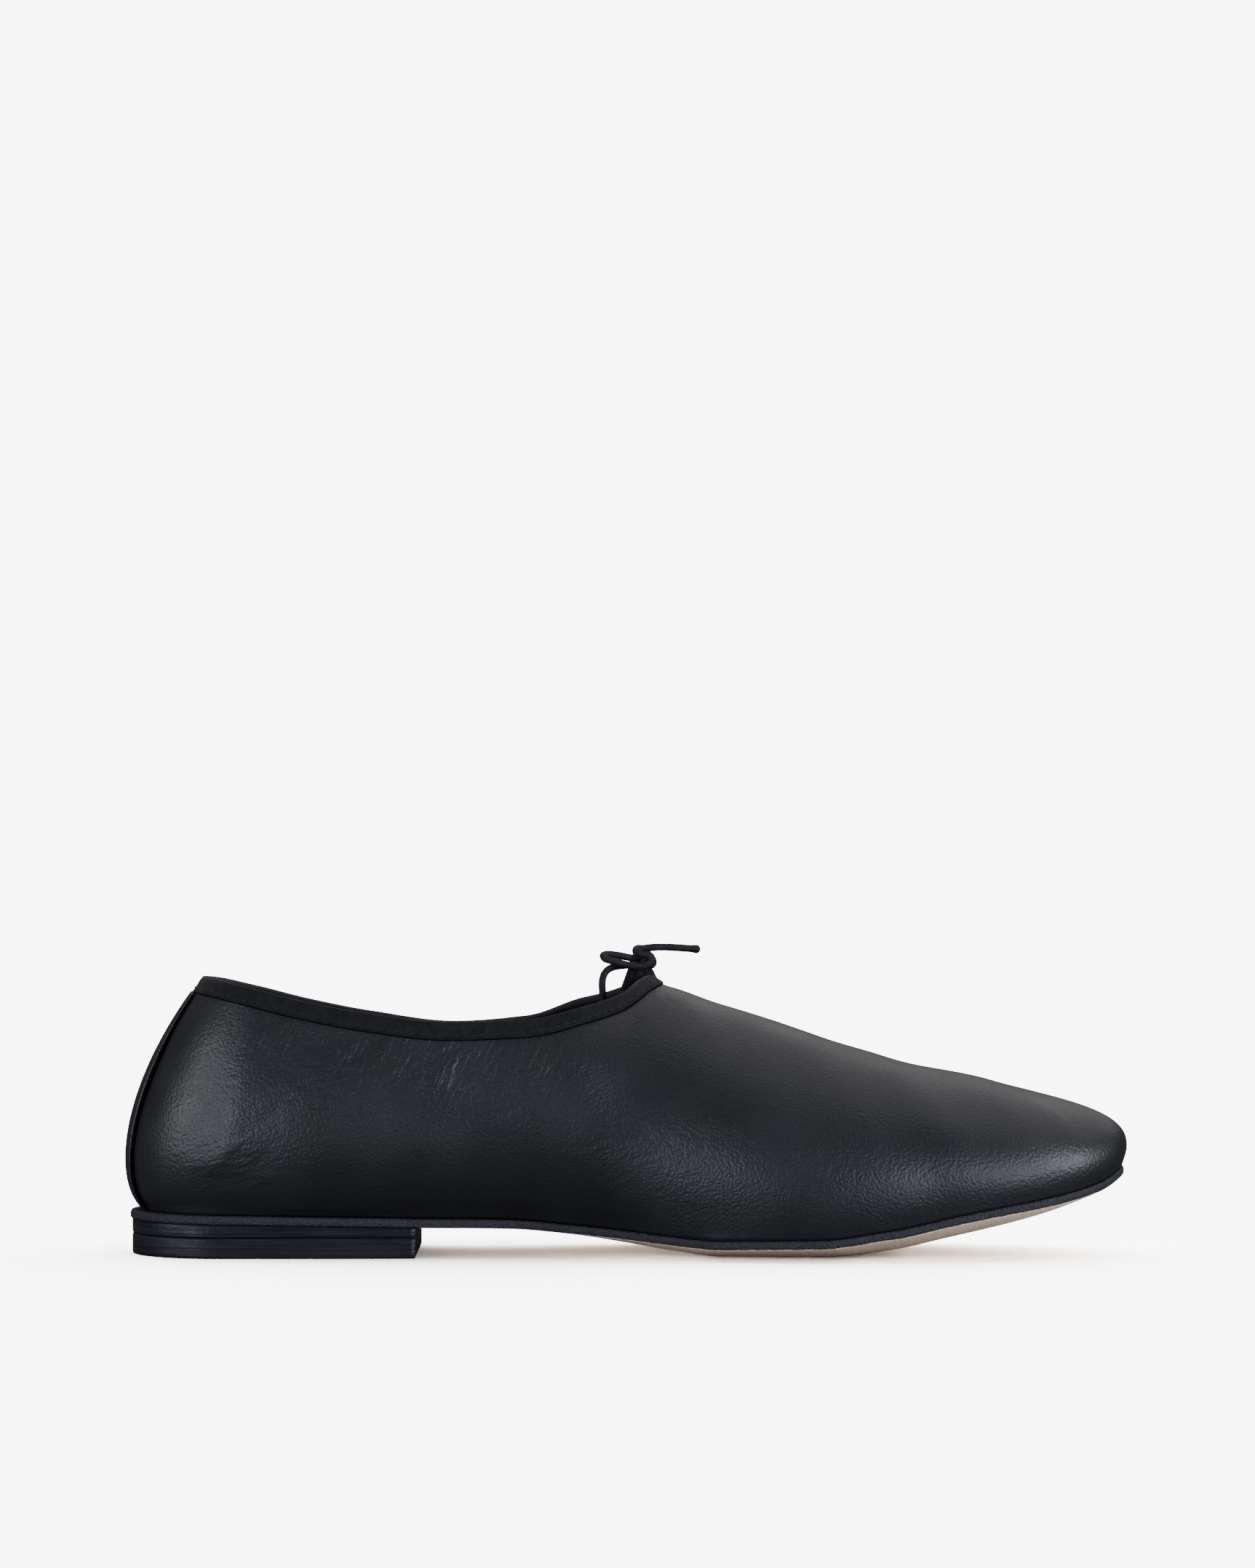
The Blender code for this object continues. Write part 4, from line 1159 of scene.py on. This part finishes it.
def make_neck():
    """The ribbon's gathered ends, drawn up round the cords: a pleated, slanting, hollow cone."""
    turn = np.linspace(0, 2 * math.pi, 144, endpoint=False)[:, None]
    up = np.linspace(0, 1, 14)[None, :]
    pleats = (0.00022 * (1 - up) + 0.00008) * (
        np.sin(11 * turn + 1.5 * up) + 0.5 * np.sin(17 * turn + 0.8)
    )
    walls = []
    for thick in (0.0, NECK_WALL):
        reach_x, reach_y, middle = (
            foot * (1 - up) + top * up for foot, top in (NECK_ALONG, NECK_ACROSS, NECK_MIDDLE)
        )
        x = middle + (reach_x + pleats - thick) * np.cos(turn)
        y = SEAT_MIDDLE + NECK_ASIDE + (reach_y + pleats - thick) * np.sin(turn)
        base = np.interp(x, NECK_FOOT[0], NECK_FOOT[1])
        walls.append(np.stack([x, y, base * (1 - up) + NECK_TOP * up], -1))
    rings = np.concatenate([walls[0], walls[1][:, ::-1]], 1)
    rows, columns = rings.shape[:2]
    values = {"run": np.repeat(turn[:, 0] * 0.003, columns)}
    make_piece("ribbon_neck", rings, tube_faces(rows, columns, True), [RIBBON], [], values)


def make_hem_shade_line(samples, loop, down):
    """The ribbon's turned lower edge: a thin matte bead all round, pressed into the leather.

    Its near black is painted shade for the shadow line between the ribbon and the leather.
    """
    place, turned = laid_on(samples, (loop + down * (BINDING_HEIGHT + 0.00005))[::2])
    path = place + turned * 0.00012
    rings = tube(path, np.full(len(path), HEM_SHADE_RADIUS), HEM_SHADE_SIDES, True)
    faces = tube_faces(len(path), HEM_SHADE_SIDES, True)
    make_piece("binding_hem_shade_line", rings, faces, [EDGE_AND_SHADE], [])


def thread_material():
    """Black sewing thread, a little uneven."""
    made, tree = plain_material("thread", THREAD_BLACK, 0.55, 0.3)
    dress(tree, blend_colour(tree, clouds(tree, 1800), THREAD_BLACK, THREAD_FADED))
    return made


def make_stitches(samples, loop, run, down):
    """One thread of short stitches: a small capsule repeated along the ribbon's lower edge."""
    pitch, length, radius, up_from_edge = 0.0021, 0.0014, 0.00017, 0.0010
    total = run[-1] - run[0]
    count = int(total / pitch)
    at = np.linspace(run[0], run[-1], count, endpoint=False)
    line = loop + down * (BINDING_HEIGHT - up_from_edge)
    place, turned = laid_on(samples, line)
    place = place + turned * (GAP / 2 + BINDING_THICKNESS + radius * 0.3)
    middle = points_at(at, run, place)
    way = unit(points_at(at + pitch / 4, run, place) - middle)
    facing = points_at(at, run, turned)
    facing = unit(facing - way * (facing * way).sum(1, keepdims=True))
    side = np.cross(way, facing)
    slide = np.linspace(-1, 1, 7)
    thick = np.sqrt(1 - (slide * 0.98) ** 2) ** 0.5
    turn = np.linspace(0, 2 * math.pi, 8, endpoint=False)
    shape = (
        middle[:, None, None] + way[:, None, None] * (slide * length / 2)[None, :, None, None]
        + radius * thick[None, :, None, None] * (
            facing[:, None, None] * np.cos(turn)[None, None, :, None]
            + side[:, None, None] * np.sin(turn)[None, None, :, None])
    )
    one = grid_faces(8, 7, wrap=True)
    order = np.arange(56).reshape(7, 8).T.ravel()
    ring = order[one]
    faces = (ring[None] + (np.arange(count) * 56)[:, None, None]).reshape(-1, 4)
    caps = np.array([[0, 1, 2, 3], [0, 3, 4, 7], [4, 5, 6, 7]])
    ends = np.concatenate([caps, caps[:, ::-1] + 48])
    ends = (ends[None] + (np.arange(count) * 56)[:, None, None]).reshape(-1, 4)
    faces = np.concatenate([faces, ends])
    make_piece("binding_stitches", shape, faces, [thread_material()], [])


leather_at, topline, topline_run, way_down = make_binding()
make_stitches(leather_at, topline, topline_run, way_down)
make_hem_shade_line(leather_at, topline, way_down)
make_neck()


# The bow: one round black cord, drawn out of the binding at the throat and tied. Each half
# makes a small loop and an end; one end lies forward, the other hangs into the shoe.
CORD_DIAMETER, CORD_SIDES = 0.0019, 20
CORD_FADED = (0.012, 0.012, 0.016)
BRAID_PITCH = 0.00065
TIP_FROM_END, TIP_WIDTH = 0.0012, 0.0009
KNOT_MIDDLE, KNOT_REACH = (0.0044, 0.0012, 0.0761), (0.00084, 0.00058, 0.0013)
EXIT = (0.0034, 0.0008, 0.0740)
NEAR_ROUTE = (
    EXIT, (0.0034, 0.0006, 0.0752), (0.0026, 0.0000, 0.0764), (0.0008, -0.0010, 0.0767),
    (-0.0012, -0.0020, 0.0771), (-0.0032, -0.0030, 0.0775), (-0.0052, -0.0042, 0.0777),
    (-0.0063, -0.0056, 0.0774), (-0.0058, -0.0069, 0.0766), (-0.0042, -0.0073, 0.0761),
    (-0.0021, -0.0067, 0.0755), (0.0003, -0.0055, 0.0749), (0.0026, -0.0042, 0.0746),
    (0.0045, -0.0034, 0.0747), (0.0058, -0.0030, 0.0755), (0.0062, -0.0028, 0.0766),
    (0.0053, -0.0027, 0.0775), (0.0040, -0.0022, 0.0776), (0.0030, -0.0014, 0.0782),
    (0.0038, -0.0011, 0.0790), (0.0055, -0.0017, 0.0793), (0.0075, -0.0025, 0.0795),
    (0.0109, -0.0031, 0.0795), (0.0145, -0.0037, 0.0793), (0.0171, -0.0041, 0.0791),
    (0.0190, -0.0044, 0.0790),
)
FAR_ROUTE = (
    EXIT, (0.0038, 0.0012, 0.0754), (0.0034, 0.0018, 0.0768), (0.0022, 0.0030, 0.0781),
    (0.0024, 0.0046, 0.0789), (0.0036, 0.0062, 0.0789), (0.0050, 0.0078, 0.0779),
    (0.0060, 0.0076, 0.0765), (0.0058, 0.0052, 0.0758), (0.0050, 0.0022, 0.0756),
    (0.0034, -0.0002, 0.0752), (0.0012, -0.0016, 0.0749), (-0.0012, -0.0026, 0.0747),
    (-0.0034, -0.0034, 0.0744), (-0.0053, -0.0041, 0.0735), (-0.0063, -0.0046, 0.0719),
    (-0.0066, -0.0048, 0.0700), (-0.0065, -0.0046, 0.0680), (-0.0064, -0.0043, 0.0655),
    (-0.0065, -0.0040, 0.0625),
)


def through(route, spacing):
    """Points a spacing apart on a smooth curve through the route's own points."""
    route = np.array(route, float)
    padded = np.concatenate([[2 * route[0] - route[1]], route, [2 * route[-1] - route[-2]]])
    t = np.linspace(0, 1, 24, endpoint=False)[None, :, None]
    a, b, c, d = (padded[k:len(padded) - 3 + k, None] for k in range(4))
    spans = 0.5 * (2 * b + (c - a) * t + (2 * a - 5 * b + 4 * c - d) * t**2
                   + (3 * b - a - 3 * c + d) * t**3)
    fine = np.concatenate([spans.reshape(-1, 3), route[-1:]])
    run = run_along(fine)
    return points_at(np.linspace(0, run[-1], round(run[-1] / spacing) + 1), run, fine), run[-1]


def cord_material():
    """A braided cord: two crossing sets of fine ridges that wind round it."""
    made, tree = plain_material("cord", RIBBON_BLACK, 0.62, 0.25)
    run, turn = attribute(tree, "run"), attribute(tree, "turn")
    ridges = []
    for way in (1, -1):
        wind = math_node(tree, "MULTIPLY_ADD", run, way * 2 * math.pi / BRAID_PITCH, turn)
        ridges.append(math_node(tree, "SINE", wind))
    braid = math_node(tree, "MAXIMUM", *ridges)
    colour = blend_colour(tree, clouds(tree, 700), RIBBON_BLACK, CORD_FADED)
    dress(tree, colour, bumped(tree, clouds(tree, 3000), 0.00005, bumped(tree, braid, 0.00005)))
    return made


CORD_MATERIAL = cord_material()


def tube_piece(name, path, radii, replaced, closed=False):
    """A tube as a piece, with its length along and turns round kept for the braid."""
    rings = tube(path, radii, CORD_SIDES, closed)
    faces = tube_faces(len(path), CORD_SIDES, closed)
    turn = np.linspace(0, 8 * math.pi, CORD_SIDES, endpoint=False)
    values = {"run": np.repeat(run_along(path), CORD_SIDES), "turn": np.tile(turn, len(path))}
    return make_piece(name, rings, faces, [CORD_MATERIAL], replaced, values)


def cord_radii(path, bulb):
    """Round ends, with a little swelling before the far tip."""
    run = run_along(path)
    swell = 1 + bulb * np.exp(-((run[-1] - run - TIP_FROM_END) / TIP_WIDTH) ** 2)
    return round_ends(path, CORD_DIAMETER / 2) * swell


def make_bow():
    """Two cords and the knot between them, which is a trefoil drawn tight."""
    turn = np.linspace(0, 2 * math.pi, 240, endpoint=False)
    trefoil = np.stack([
        np.sin(turn) + 2 * np.sin(2 * turn), np.cos(turn) - 2 * np.cos(2 * turn),
        -np.sin(3 * turn),
    ], -1)
    path = np.array(KNOT_MIDDLE) + trefoil * np.array(KNOT_REACH)
    radii = np.full(len(path), CORD_DIAMETER / 2)
    knot = tube_piece("bow_knot_cord", path, radii, ["bow_knot"], True)
    for name, route, bulb, replaced in (
        ("bow_cord_near", NEAR_ROUTE, 0.18, ["bow_loop_near", "bow_end_front"]),
        ("bow_cord_far", FAR_ROUTE, 0.10, ["bow_loop_far", "bow_end_inside"]),
    ):
        shifted = np.array(route) + [0, SEAT_MIDDLE, 0]
        path, length = through(shifted, 0.0002)
        cord = tube_piece(name, path, cord_radii(path, bulb), replaced)


make_bow()
